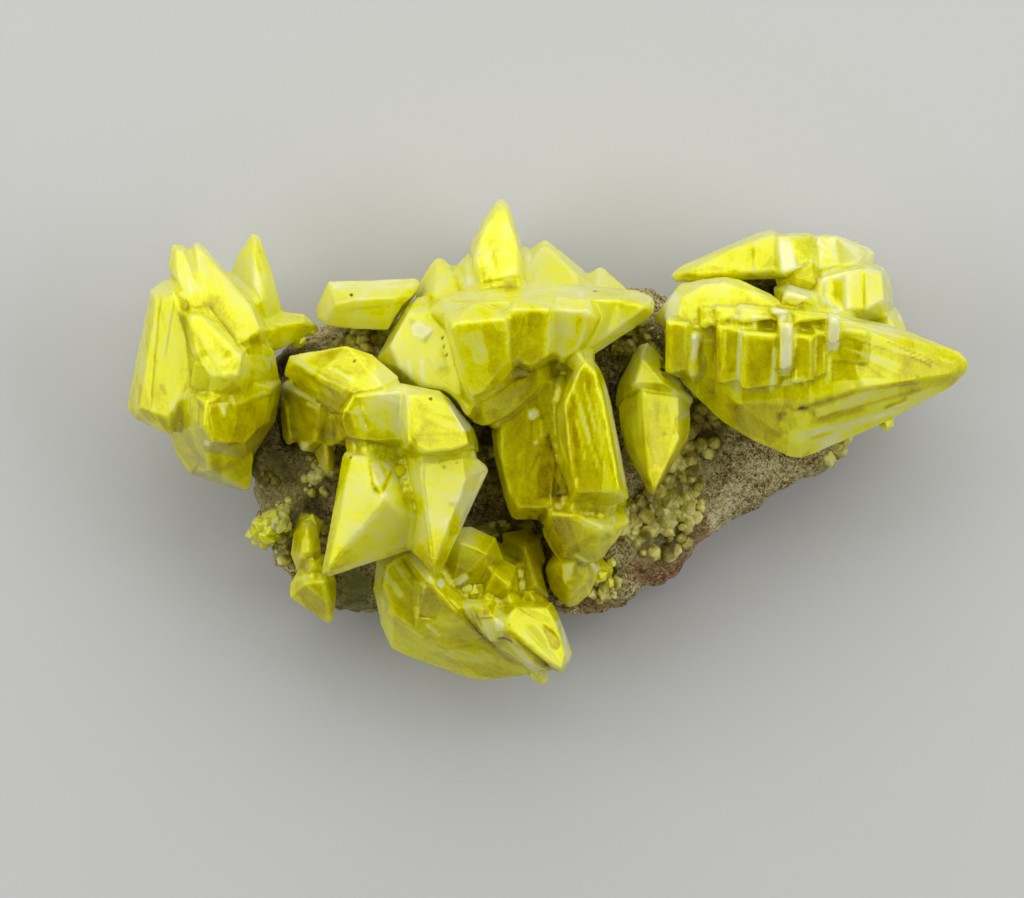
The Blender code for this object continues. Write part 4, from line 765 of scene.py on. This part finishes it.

# Lower crystals: a broad leaning slab, two plates on its right end made bright by painted
# highlights, and a fan of crystals behind them darkened by painted shade.
crystal_cluster(
    "lower_crystal_cluster", "lower_crystals", (0.7, 0.7, 0), (1, -0.7, 0), 71, 0.02, 0.6,
    patches=[([(45.8, 60.2), (47.6, 59.6), (50.2, 60.6), (50.4, 63.6), (49.2, 63.8)],
              0.05, -0.05, -0.1, 0.14),
             ([(50.0, 63.4), (51.4, 64.6), (54.8, 67.0), (54.4, 68.2), (53.2, 67.2)],
              0.05, 0.0, -0.05, 0.16),
             ([(46.2, 60.3), (47.4, 59.9), (47.8, 61.6), (47.2, 61.8)], 0.08, 0.0, -0.2, 0.16),
             ([(49.4, 61.8), (50.2, 61.0), (50.4, 62.8), (49.6, 63.0)], 0.08, 0.1, -0.2, 0.18),
             ([(48.2, 62.0), (48.8, 62.2), (50.0, 64.0), (49.4, 64.0)], 0.08, 0.0, -0.1, 0.20),
             ([(51.4, 64.8), (52.0, 65.0), (54.0, 66.8), (53.2, 66.8)], 0.06, 0.0, -0.1, 0.18),
             ([(48.2, 60.4), (49.6, 60.3), (49.4, 61.4), (48.4, 61.5)], -0.12, 0.0, 0.0, -0.16),
             ([(50.6, 61.6), (51.6, 60.8), (53.4, 61.8), (56.4, 66.6), (55.6, 67.0), (51.2, 64.2)],
              0.05, 0.0, 0.0, 0.10),
             ([(54.2, 62.4), (55.4, 63.2), (56.2, 64.2), (55.8, 65.0), (55.0, 64.8)],
              -0.08, 0.0, 0.0, -0.18),
             ([(45.6, 58.4), (46.6, 57.6), (46.8, 57.9), (45.9, 58.5)], 0.08, 0.0, -0.2, 0.4),
             ([(43.8, 58.5), (44.5, 58.0), (44.2, 58.9)], 0.08, 0.0, -0.2, 0.4),
             ([(41.9, 59.4), (43.4, 59.2), (44.2, 60.6), (43.6, 62.0), (41.8, 61.8)],
              -0.06, 0.05, 0.05, -0.08),
             ([(38.4, 60.4), (39.6, 61.8), (43.0, 64.2), (50.0, 66.4), (47.6, 68.0), (41.0, 65.8)],
              0.0, 0.0, -0.03, 0.04)],
    ledges=[((38.2, 61.2), (42.6, 64.2), 0.35, 1.8), ((42.6, 64.2), (49.6, 66.4), 0.35, 1.8),
            ((40.8, 54.9), (43.6, 58.6), 0.35, 1.4), ((39.0, 55.8), (41.6, 59.4), 0.25, 0.9),
            ((44.6, 59.6), (50.6, 65.6), 0.30, 1.2), ((46.8, 62.2), (53.4, 67.4), 0.25, 0.8),
            ((42.4, 62.2), (44.2, 63.8), 0.2, 0.6), ((41.2, 59.0), (41.4, 62.0), 0.2, 0.8),
            ((52.2, 62.6), (56.2, 67.0), -0.2, 1.0)],
    streaks=[((47.0, 60.0), (48.4, 62.6), 0.12, -0.2), ((48.0, 61.8), (50.2, 61.6), 0.1, -0.2),
             ((49.8, 63.6), (51.4, 64.2), 0.12, -0.18), ((40.8, 54.9), (43.3, 58.4), 0.15, 0.28),
             ((40.0, 55.6), (41.8, 58.2), 0.15, -0.12),
             ((38.0, 56.4), (37.8, 58.8), 0.25, 0.16), ((38.4, 57.0), (39.0, 58.4), 0.25, 0.16),
             ((39.2, 58.2), (40.2, 59.8), 0.25, 0.2), ((42.6, 62.4), (44.0, 63.6), 0.15, 0.22),
             ((42.0, 58.2), (42.6, 58.8), 0.18, 0.2), ((39.6, 56.6), (40.4, 57.4), 0.15, 0.16),
             ((46.8, 60.4), (49.8, 63.6), 0.9, 0.05), ((50.2, 64.2), (54.6, 67.6), 0.45, 0.08),
             ((44.8, 60.6), (52.0, 67.0), 0.25, -0.08), ((45.4, 60.6), (50.0, 65.0), 0.3, -0.10),
             ((50.6, 62.8), (55.6, 67.4), 0.3, -0.18), ((56.2, 62.6), (56.9, 66.4), 0.2, 0.28),
             ((45.4, 58.4), (46.8, 57.5), 0.3, 0.35), ((43.8, 58.6), (44.3, 58.0), 0.3, 0.35),
             ((41.6, 60.6), (41.7, 62.0), 0.2, 0.1), ((44.6, 65.2), (48.4, 66.4), 0.3, 0.06),
             ((48.0, 65.0), (49.4, 65.9), 0.15, 0.12), ((55.6, 62.2), (56.0, 62.6), 0.25, 0.3)])

# Centre crystals: a row of steep crystals under a level ledge, a spike behind it, and below it
# a slab, a ribbed prism and a blunt double stub.
crystal_cluster(
    "centre_crystal_cluster", "centre_crystals", (1, 0.12, 0.2), (0.15, -1, 0), 81, 0.02, 0.7,
    patches=[([(41.1, 32.0), (43.4, 33.0), (42.4, 34.1), (41.4, 33.5)], 0.05, 0.0, -0.25, 0.34),
             ([(52.7, 41.0), (53.8, 41.2), (53.9, 41.6), (53.2, 42.0)], 0.10, 0.0, -0.3, 0.42),
             ([(54.8, 43.0), (57.0, 49.7), (53.6, 49.9), (53.9, 46.0)], -0.08, -0.05, 0.0, -0.13),
             ([(52.6, 44.4), (54.4, 43.6), (53.8, 46.0), (52.4, 48.4)], -0.05, 0.0, 0.0, -0.04),
             ([(43.6, 37.2), (45.2, 36.8), (47.0, 40.0), (45.2, 39.4)], 0.0, 0.1, 0.0, -0.10),
             ([(50.0, 27.8), (51.6, 28.0), (51.0, 29.4), (49.8, 29.2)], 0.06, 0.0, 0.1, -0.09),
             ([(48.0, 27.0), (49.0, 26.8), (49.4, 28.8), (48.2, 29.0)], 0.0, 0.0, 0.1, -0.06),
             ([(46.0, 27.6), (47.8, 27.4), (48.0, 28.4), (46.4, 28.8)], 0.06, 0.0, -0.1, 0.12),
             ([(56.2, 56.4), (57.6, 56.2), (57.0, 57.6), (56.6, 58.6), (56.3, 58.0)],
              0.05, 0.1, -0.1, 0.20),
             ([(59.6, 56.8), (60.8, 57.4), (60.4, 58.6), (59.8, 58.0)], 0.15, 0.0, -0.1, 0.20),
             ([(57.0, 51.9), (61.0, 52.0), (61.6, 53.6), (58.6, 52.6)], 0.05, 0.0, -0.1, 0.08),
             ([(53.0, 30.6), (54.8, 31.4), (53.6, 34.4), (52.6, 33.4)], 0.0, 0.1, 0.0, -0.05),
             ([(56.6, 31.8), (58.4, 31.4), (57.8, 34.6), (56.4, 34.2)], 0.0, -0.1, 0.0, -0.05),
             ([(61.0, 29.8), (65.2, 30.0), (64.4, 31.6), (60.8, 33.0)], 0.0, 0.0, 0.0, -0.04)],
    ledges=[((54.6, 43.2), (52.4, 48.4), -0.25, 2.2), ((59.6, 37.0), (61.4, 49.2), -0.16, 1.4),
            ((57.6, 36.6), (59.8, 48.8), -0.16, 1.2), ((56.2, 37.6), (57.0, 48.0), 0.14, 0.8),
            ((55.0, 51.4), (58.5, 51.9), 0.2, 0.9), ((58.5, 51.9), (61.8, 53.4), 0.2, 0.9),
            ((51.0, 31.0), (51.4, 36.4), 0.15, 1.2), ((58.4, 30.4), (57.2, 35.6), 0.15, 1.2),
            ((49.3, 25.0), (50.0, 27.8), 0.2, 0.9), ((48.0, 25.4), (48.6, 28.2), 0.15, 0.7),
            ((45.2, 30.2), (50.0, 30.3), -0.2, 1.2), ((50.0, 30.2), (59.4, 31.0), -0.2, 1.2),
            ((42.6, 35.4), (45.6, 40.2), 0.25, 1.4), ((61.2, 30.4), (60.4, 33.6), 0.15, 1.0)],
    streaks=[((49.3, 25.0), (50.0, 27.6), 0.18, -0.12), ((48.0, 25.4), (48.5, 28.0), 0.18, -0.09),
             ((48.4, 27.0), (48.6, 28.8), 0.5, -0.08), ((50.6, 28.0), (51.8, 29.4), 0.5, -0.08),
             ((41.5, 32.2), (43.2, 33.6), 0.7, 0.18), ((45.0, 29.5), (51.0, 29.8), 0.35, 0.10),
             ((52.0, 28.8), (60.0, 29.4), 0.6, 0.07), ((40.8, 35.8), (41.2, 38.2), 0.22, 0.16),
             ((42.2, 35.8), (42.4, 38.4), 0.25, 0.16), ((40.0, 36.0), (40.4, 38.0), 0.18, 0.12),
             ((41.5, 36.2), (41.7, 38.6), 0.15, -0.10), ((65.2, 32.1), (59.4, 35.5), 0.2, 0.30),
             ((53.0, 41.2), (53.6, 41.6), 0.5, 0.32), ((53.4, 44.4), (53.8, 44.1), 0.15, 0.35),
             ((53.2, 41.9), (53.0, 44.5), 0.15, -0.10), ((54.0, 42.0), (54.1, 44.0), 0.12, 0.14),
             ((51.6, 46.0), (52.8, 44.6), 0.2, 0.05), ((57.2, 38.4), (60.0, 47.5), 0.14, 0.18),
             ((58.2, 38.0), (59.6, 43.5), 0.12, 0.18), ((57.4, 41.5), (58.6, 46.5), 0.12, 0.14),
             ((56.0, 44.0), (56.8, 46.5), 0.12, 0.10), ((59.5, 40.0), (60.6, 47.8), 0.12, 0.10),
             ((56.4, 36.6), (55.2, 40.5), 0.2, 0.10), ((57.8, 35.8), (57.4, 38.2), 0.2, 0.14),
             ((60.3, 38.0), (62.6, 49.2), 0.16, 0.30), ((58.8, 41.0), (59.4, 46.0), 0.12, -0.08),
             ((54.2, 50.3), (62.4, 50.5), 0.2, 0.08), ((57.6, 52.0), (60.8, 53.2), 0.5, 0.09),
             ((57.4, 55.4), (60.2, 57.0), 0.14, 0.26), ((59.2, 56.4), (60.6, 58.4), 0.2, 0.26),
             ((56.8, 56.4), (57.0, 58.2), 0.45, 0.16), ((61.3, 51.6), (61.4, 52.2), 0.15, 0.25),
             ((44.2, 33.7), (44.4, 34.0), 0.1, -0.7), ((44.3, 34.6), (44.5, 34.8), 0.1, -0.6),
             ((44.6, 35.4), (44.8, 35.6), 0.1, -0.7), ((59.4, 29.1), (59.6, 29.3), 0.1, -0.6),
             ((54.1, 52.5), (54.3, 52.7), 0.1, -0.7), ((57.8, 29.4), (58.3, 29.9), 0.2, 0.2),
             ((44.4, 27.2), (43.6, 30.0), 0.2, 0.10), ((45.4, 27.6), (46.2, 29.8), 0.15, -0.08)])

# Arrow crystal: a flat pointed blade that stands alone, its right edge chipped.
crystal_cluster(
    "arrow_crystal", "arrow_skin", (1, 0.1, 0.1), (0.1, -1, 0), 91,
    patches=[([(67.4, 41.8), (69.0, 41.0), (69.0, 43.6), (68.4, 44.2), (67.6, 43.0)],
              -0.12, 0.0, 0.0, -0.04),
             ([(66.4, 37.2), (67.0, 36.8), (68.3, 38.5), (67.9, 38.7)], 0.08, 0.0, -0.2, 0.36),
             ([(66.0, 35.8), (66.6, 35.9), (66.8, 37.0), (66.1, 37.0)], -0.06, 0.0, 0.0, -0.25)],
    ledges=[((63.6, 38.6), (68.6, 39.8), -0.25, 1.4), ((66.0, 35.6), (68.4, 38.6), 0.25, 0.8),
            ((64.4, 39.0), (65.2, 48.0), 0.15, 1.0)],
    streaks=[((63.2, 38.4), (68.6, 39.6), 0.22, 0.14), ((66.4, 36.4), (68.3, 38.5), 0.2, 0.36),
             ((66.0, 34.6), (66.4, 36.0), 0.2, 0.25), ((66.9, 35.6), (66.6, 37.2), 0.12, -0.3),
             ((66.3, 34.6), (65.4, 34.4), 0.15, 0.22), ((65.9, 36.9), (66.8, 37.1), 0.12, -0.35),
             ((66.2, 43.3), (66.6, 43.5), 0.25, -0.12), ((67.6, 41.2), (67.4, 43.6), 0.2, -0.14),
             ((69.0, 41.2), (68.0, 41.8), 0.2, 0.2), ((63.4, 36.4), (63.0, 38.6), 0.25, 0.10),
             ((68.6, 39.4), (69.2, 40.6), 0.25, 0.12), ((65.0, 47.8), (65.8, 49.0), 0.4, -0.08)])

# Right crystals: a great crystal that lies on its side, its upper face broken into steep steps,
# and three smaller ones behind it. Fibrous veils run towards its point.
crystal_cluster(
    "right_crystal_cluster", "right_crystals", (1, 0, 0.15), (0, 1, 0), 101, 0.02, 0.25,
    patches=[([(76.9, 31.0), (77.8, 30.9), (78.8, 31.6), (78.0, 32.0)], 0.08, 0.0, -0.2, 0.36),
             ([(77.8, 23.6), (79.0, 23.8), (79.7, 26.8), (78.2, 27.4)], 0.05, 0.0, -0.10, 0.22),
             ([(79.2, 24.0), (81.2, 23.4), (81.0, 26.2), (79.8, 26.6)], -0.06, 0.0, 0.1, -0.09),
             ([(81.4, 23.3), (83.8, 23.6), (83.9, 26.0), (82.0, 25.6)], 0.05, 0.0, -0.05, 0.14),
             ([(84.0, 23.6), (87.6, 24.8), (87.2, 26.0), (85.4, 26.8), (84.1, 26.4)],
              0.0, 0.0, -0.05, 0.14),
             ([(78.2, 28.4), (80.6, 28.4), (81.6, 29.3), (79.6, 30.6), (78.2, 30.0)],
              0.08, 0.0, -0.10, 0.16),
             ([(79.8, 27.2), (82.2, 26.4), (82.4, 29.0), (80.8, 28.2)], 0.0, 0.0, 0.1, -0.06),
             ([(82.8, 28.0), (84.3, 28.0), (84.3, 30.9), (82.9, 30.4)], -0.08, 0.0, 0.0, -0.12),
             ([(86.6, 26.2), (89.3, 28.0), (89.2, 30.2), (86.6, 31.0)], 0.05, 0.0, 0.0, 0.08),
             ([(66.4, 30.0), (68.0, 29.0), (68.0, 31.6), (66.4, 32.2)], 0.05, 0.1, -0.1, 0.18),
             ([(77.7, 32.2), (79.0, 31.8), (78.8, 37.6), (77.9, 37.6)], 0.06, 0.0, -0.02, 0.24),
             ([(82.7, 31.4), (83.7, 31.2), (83.5, 35.0), (82.6, 35.1)], 0.10, 0.0, -0.05, 0.32),
             ([(69.2, 33.2), (70.0, 33.4), (69.4, 36.4), (69.0, 36.0)], 0.05, 0.1, 0.0, 0.22),
             ([(74.2, 34.2), (76.9, 34.2), (76.9, 39.0), (74.2, 39.0)], 0.0, 0.0, 0.0, -0.06),
             ([(69.8, 34.2), (71.5, 34.2), (71.4, 39.4), (69.9, 39.6)], -0.10, 0.0, 0.0, -0.04),
             ([(72.3, 33.0), (73.6, 32.8), (73.4, 37.2), (72.2, 37.4)], -0.05, 0.0, 0.0, -0.06),
             ([(77.4, 41.2), (78.6, 41.2), (78.4, 42.2), (77.6, 42.0)], 0.0, 0.0, 0.0, -0.12),
             ([(82.9, 36.0), (86.4, 36.4), (88.4, 37.8), (82.9, 38.2)], -0.06, 0.0, 0.0, -0.12),
             ([(81.2, 41.0), (86.4, 39.3), (88.6, 38.7), (86.0, 40.3), (81.6, 41.7)],
              0.0, 0.0, -0.03, 0.16),
             ([(79.0, 43.6), (81.8, 42.7), (85.6, 42.2), (83.2, 44.4), (80.0, 44.4)],
              0.0, 0.0, 0.0, 0.13),
             ([(72.4, 40.4), (79.0, 40.4), (79.6, 42.6), (77.0, 44.4), (73.8, 42.8)],
              0.0, 0.0, 0.0, -0.10),
             ([(75.4, 24.8), (77.6, 23.8), (77.8, 26.6), (75.6, 26.8)], 0.0, 0.0, 0.05, -0.06),
             ([(67.2, 27.6), (71.0, 26.4), (75.0, 27.0), (72.0, 27.8)], 0.0, 0.0, 0.0, -0.14),
             ([(88.6, 31.8), (89.8, 31.0), (90.2, 32.6), (89.2, 32.8)], 0.0, 0.0, 0.1, -0.07)],
    ledges=[((79.0, 41.2), (85.5, 39.1), 0.35, 1.6), ((85.5, 39.1), (92.0, 38.2), 0.35, 1.6),
            ((80.0, 43.4), (91.0, 40.4), 0.2, 1.0), ((78.0, 38.6), (80.4, 37.9), 0.25, 0.8),
            ((84.5, 33.4), (93.0, 36.2), 0.16, 0.9), ((85.4, 35.0), (91.0, 37.4), 0.16, 0.8),
            ((83.9, 23.6), (84.2, 26.6), -0.2, 1.2), ((81.4, 24.2), (83.8, 25.9), 0.2, 0.8),
            ((84.4, 26.8), (84.5, 31.2), 0.2, 1.0), ((86.4, 26.8), (86.5, 31.6), 0.2, 1.2),
            ((82.4, 27.0), (82.6, 29.2), 0.15, 0.8), ((81.4, 29.2), (84.2, 31.2), 0.2, 0.8),
            ((79.0, 31.2), (82.2, 29.2), -0.2, 1.0), ((75.4, 24.6), (75.5, 27.0), 0.15, 1.0),
            ((70.0, 31.0), (77.0, 31.4), 0.15, 0.8)],
    streaks=[((78.6, 32.6), (78.4, 37.4), 0.45, 0.26), ((69.7, 33.4), (69.1, 36.2), 0.2, 0.26),
             ((73.9, 32.8), (73.5, 39.6), 0.14, 0.30), ((77.2, 34.6), (77.0, 39.4), 0.14, 0.30),
             ((72.4, 33.0), (72.2, 37.4), 0.18, 0.16), ((83.2, 31.6), (82.9, 35.2), 0.5, 0.30),
             ((79.3, 32.6), (79.4, 35.0), 0.14, 0.2), ((82.7, 35.4), (82.5, 38.6), 0.14, 0.14),
             ((78.0, 38.5), (80.2, 37.8), 0.18, 0.16), ((80.2, 37.8), (80.4, 38.8), 0.16, 0.16),
             ((79.0, 41.1), (85.5, 39.0), 0.22, -0.16), ((85.5, 39.0), (92.0, 38.1), 0.22, -0.14),
             ((81.0, 42.3), (92.4, 38.9), 0.3, -0.14), ((83.6, 43.9), (91.6, 40.6), 0.22, -0.09),
             ((79.6, 40.6), (81.6, 41.4), 0.3, -0.12), ((86.0, 40.9), (92.6, 39.2), 0.2, 0.12),
             ((80.0, 43.5), (90.0, 41.0), 0.3, 0.12), ((80.4, 45.3), (95.2, 38.4), 0.5, 0.12),
             ((80.8, 43.9), (83.4, 43.1), 0.18, -0.14), ((88.2, 40.8), (90.8, 39.8), 0.18, -0.18),
             ((77.8, 41.4), (78.2, 41.8), 0.5, -0.10), ((84.5, 33.6), (93.0, 36.2), 0.12, 0.14),
             ((85.0, 35.0), (90.0, 37.4), 0.14, 0.14), ((88.0, 34.0), (94.5, 36.8), 0.12, -0.12),
             ((90.6, 35.5), (93.2, 36.7), 0.14, -0.18), ((86.0, 34.2), (89.0, 35.1), 0.14, -0.12),
             ((86.6, 35.6), (90.0, 36.8), 0.3, 0.14), ((84.0, 34.8), (88.4, 36.2), 0.12, 0.12),
             ((88.8, 34.8), (92.6, 36.0), 0.1, 0.14), ((91.0, 34.8), (95.6, 36.4), 0.15, 0.08),
             ((67.3, 29.2), (67.1, 32.2), 0.6, 0.16), ((78.4, 24.0), (79.0, 27.2), 0.7, 0.18),
             ((80.3, 23.8), (80.3, 26.2), 0.7, -0.08), ((76.4, 24.6), (76.8, 26.8), 0.8, -0.06),
             ((83.9, 23.8), (84.2, 26.5), 0.15, -0.14), ((81.5, 24.4), (83.6, 25.8), 0.14, -0.12),
             ((78.6, 29.0), (80.8, 29.6), 0.8, 0.12), ((80.2, 30.2), (82.0, 29.3), 0.14, 0.2),
             ((81.6, 29.4), (84.2, 31.1), 0.14, 0.22), ((82.4, 27.2), (82.6, 29.0), 0.2, 0.14),
             ((84.8, 27.0), (84.9, 31.0), 0.35, 0.09), ((86.3, 26.6), (86.3, 31.4), 0.25, -0.10),
             ((83.6, 28.0), (83.7, 30.8), 0.5, -0.08), ((77.0, 31.1), (78.7, 31.7), 0.35, 0.3),
             ((70.2, 30.8), (76.8, 31.2), 0.3, 0.08), ((74.6, 31.6), (77.4, 32.0), 0.15, 0.2),
             ((71.2, 31.4), (71.2, 32.2), 0.2, 0.2), ((75.2, 31.6), (75.3, 33.0), 0.15, 0.2),
             ((72.8, 32.0), (74.2, 31.6), 0.2, 0.16), ((68.6, 30.0), (76.8, 30.2), 0.25, -0.05),
             ((90.0, 31.2), (90.4, 32.0), 0.3, 0.15), ((74.8, 36.0), (75.2, 39.0), 0.6, -0.04)])

# Small crystals: stray blunt crystals one to five millimetres long, which fill the corners
# between the large ones and sit on the rock's rim, and a crust of finer ones on the tablet.
STRAYS = [
    # place, height of its middle, radius, all in mm
    ((88.6, 42.3), 17.4, 0.7), ((80.6, 28.0), 15.5, 2.3), ((60.0, 57.6), 11.0, 0.9),
    ((61.0, 58.4), 9.0, 0.7), ((61.2, 56.4), 9.8, 0.6), ((25.8, 52.6), 9.8, 0.9),
    ((26.4, 54.0), 9.4, 0.8), ((27.0, 51.6), 9.8, 0.8), ((30.8, 52.6), 9.4, 1.1),
    ((62.6, 41.0), 11.5, 0.7), ((63.0, 43.4), 11.5, 0.7), ((63.8, 46.0), 11.2, 0.8),
    ((29.8, 34.0), 13.0, 0.8), ((31.0, 32.8), 12.6, 0.7), ((70.0, 39.0), 12.4, 0.8),
    ((62.0, 50.2), 10.2, 0.8), ((47.3, 59.4), 14.7, 1.2), ((46.6, 59.0), 15.2, 0.8),
    ((47.9, 58.9), 14.8, 0.8), ((40.1, 47.2), 22.5, 0.9), ((40.3, 48.4), 22.7, 0.6),
]
TABLET_CRUST = ((26.6, 53.0), (2.2, 1.8), 20, 70, 0.55)  # as a patch of the druse
STRAY_SEED = 23
STRAY_TONES = (-0.08, 0.12)
CRUST_TONES = (0.0, 0.22)

chance = np.random.default_rng(STRAY_SEED)
stray_places = np.array([(*plan(*place), height * MM) for place, height, _ in STRAYS])
stray_sizes = np.array([radius * MM for _, _, radius in STRAYS])
crust_places, crust_sizes = sown(surface_tree(tablet), chance, *TABLET_CRUST)
stray_places = np.concatenate([stray_places, crust_places])
stray_sizes = np.concatenate([stray_sizes, crust_sizes])
stray_tones = np.concatenate([chance.uniform(*STRAY_TONES, len(STRAYS)),
                              chance.uniform(*CRUST_TONES, len(crust_places))])
strays = knobs("small_crystals", stray_places, stray_sizes, chance)
store(strays, "tone_and_painted_light", np.repeat(stray_tones, len(knob_form()[0])))
strays.data.materials.append(sulfur_finish("small_crystals_sulfur", (1, 0.3, 0), SMALL_SCATTER))
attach(strays, "root")

# Studio: a plain pale table, four soft boxes round the specimen, none over it, and a camera
# straight above.
VIEW_MIDDLE = (-3.55 * MM, -0.7 * MM)
VIEW_WIDTH = 102.4 * MM
FOCUS_HEIGHT = 18 * MM
CAMERA_DISTANCE = 1.0
SENSOR = 36.0
CLIP_START = 0.05
FLOOR_HALF = 0.8
AIM_HEIGHT = 15 * MM
WORLD_LIGHT = 0.06


def plain_floor():
    """A square of pale card under the specimen."""
    corners = [(x * FLOOR_HALF, y * FLOOR_HALF, 0) for x, y in ((-1, -1), (1, -1), (1, 1), (-1, 1))]
    mesh = bpy.data.meshes.new("pale_table")
    mesh.from_pydata(corners, [], [(0, 1, 2, 3)])
    floor = bpy.data.objects.new("pale_table", mesh)
    bpy.context.scene.collection.objects.link(floor)
    made, shader, _ = new_material("pale card")
    shader.inputs["Base Color"].default_value = (0.56, 0.56, 0.555, 1)
    shader.inputs["Roughness"].default_value = 0.8
    mesh.materials.append(made)


def soft_box(name, place, size, watts):
    """A rectangular soft light that faces the specimen."""
    lamp = bpy.data.lights.new(name, "AREA")
    lamp.shape = "RECTANGLE"
    lamp.size, lamp.size_y = size
    lamp.energy = watts
    box = bpy.data.objects.new(name, lamp)
    box.location = place
    towards = Vector((0, 0, AIM_HEIGHT)) - Vector(place)
    box.rotation_euler = towards.to_track_quat("-Z", "Y").to_euler()
    bpy.context.scene.collection.objects.link(box)


plain_floor()
soft_box("top box", (0.0, 0.52, 0.42), (0.95, 0.78), 4.5)
soft_box("left box", (-0.5, 0.05, 0.38), (0.6, 0.5), 2.0)
soft_box("right box", (0.5, 0.05, 0.38), (0.6, 0.5), 2.0)
soft_box("near box", (0.0, -0.55, 0.22), (0.9, 0.35), 0.6)

world = bpy.data.worlds.new("studio")
world.use_nodes = True
world.node_tree.nodes["Background"].inputs["Color"].default_value = (1, 1, 1, 1)
world.node_tree.nodes["Background"].inputs["Strength"].default_value = WORLD_LIGHT
bpy.context.scene.world = world
bpy.context.scene.view_settings.view_transform = "Standard"

lens = bpy.data.cameras.new("view from above")
lens.sensor_width = SENSOR
lens.lens = SENSOR * CAMERA_DISTANCE / VIEW_WIDTH
lens.clip_start = CLIP_START
camera = bpy.data.objects.new("view from above", lens)
camera.location = (*VIEW_MIDDLE, FOCUS_HEIGHT + CAMERA_DISTANCE)
bpy.context.scene.collection.objects.link(camera)
bpy.context.scene.camera = camera
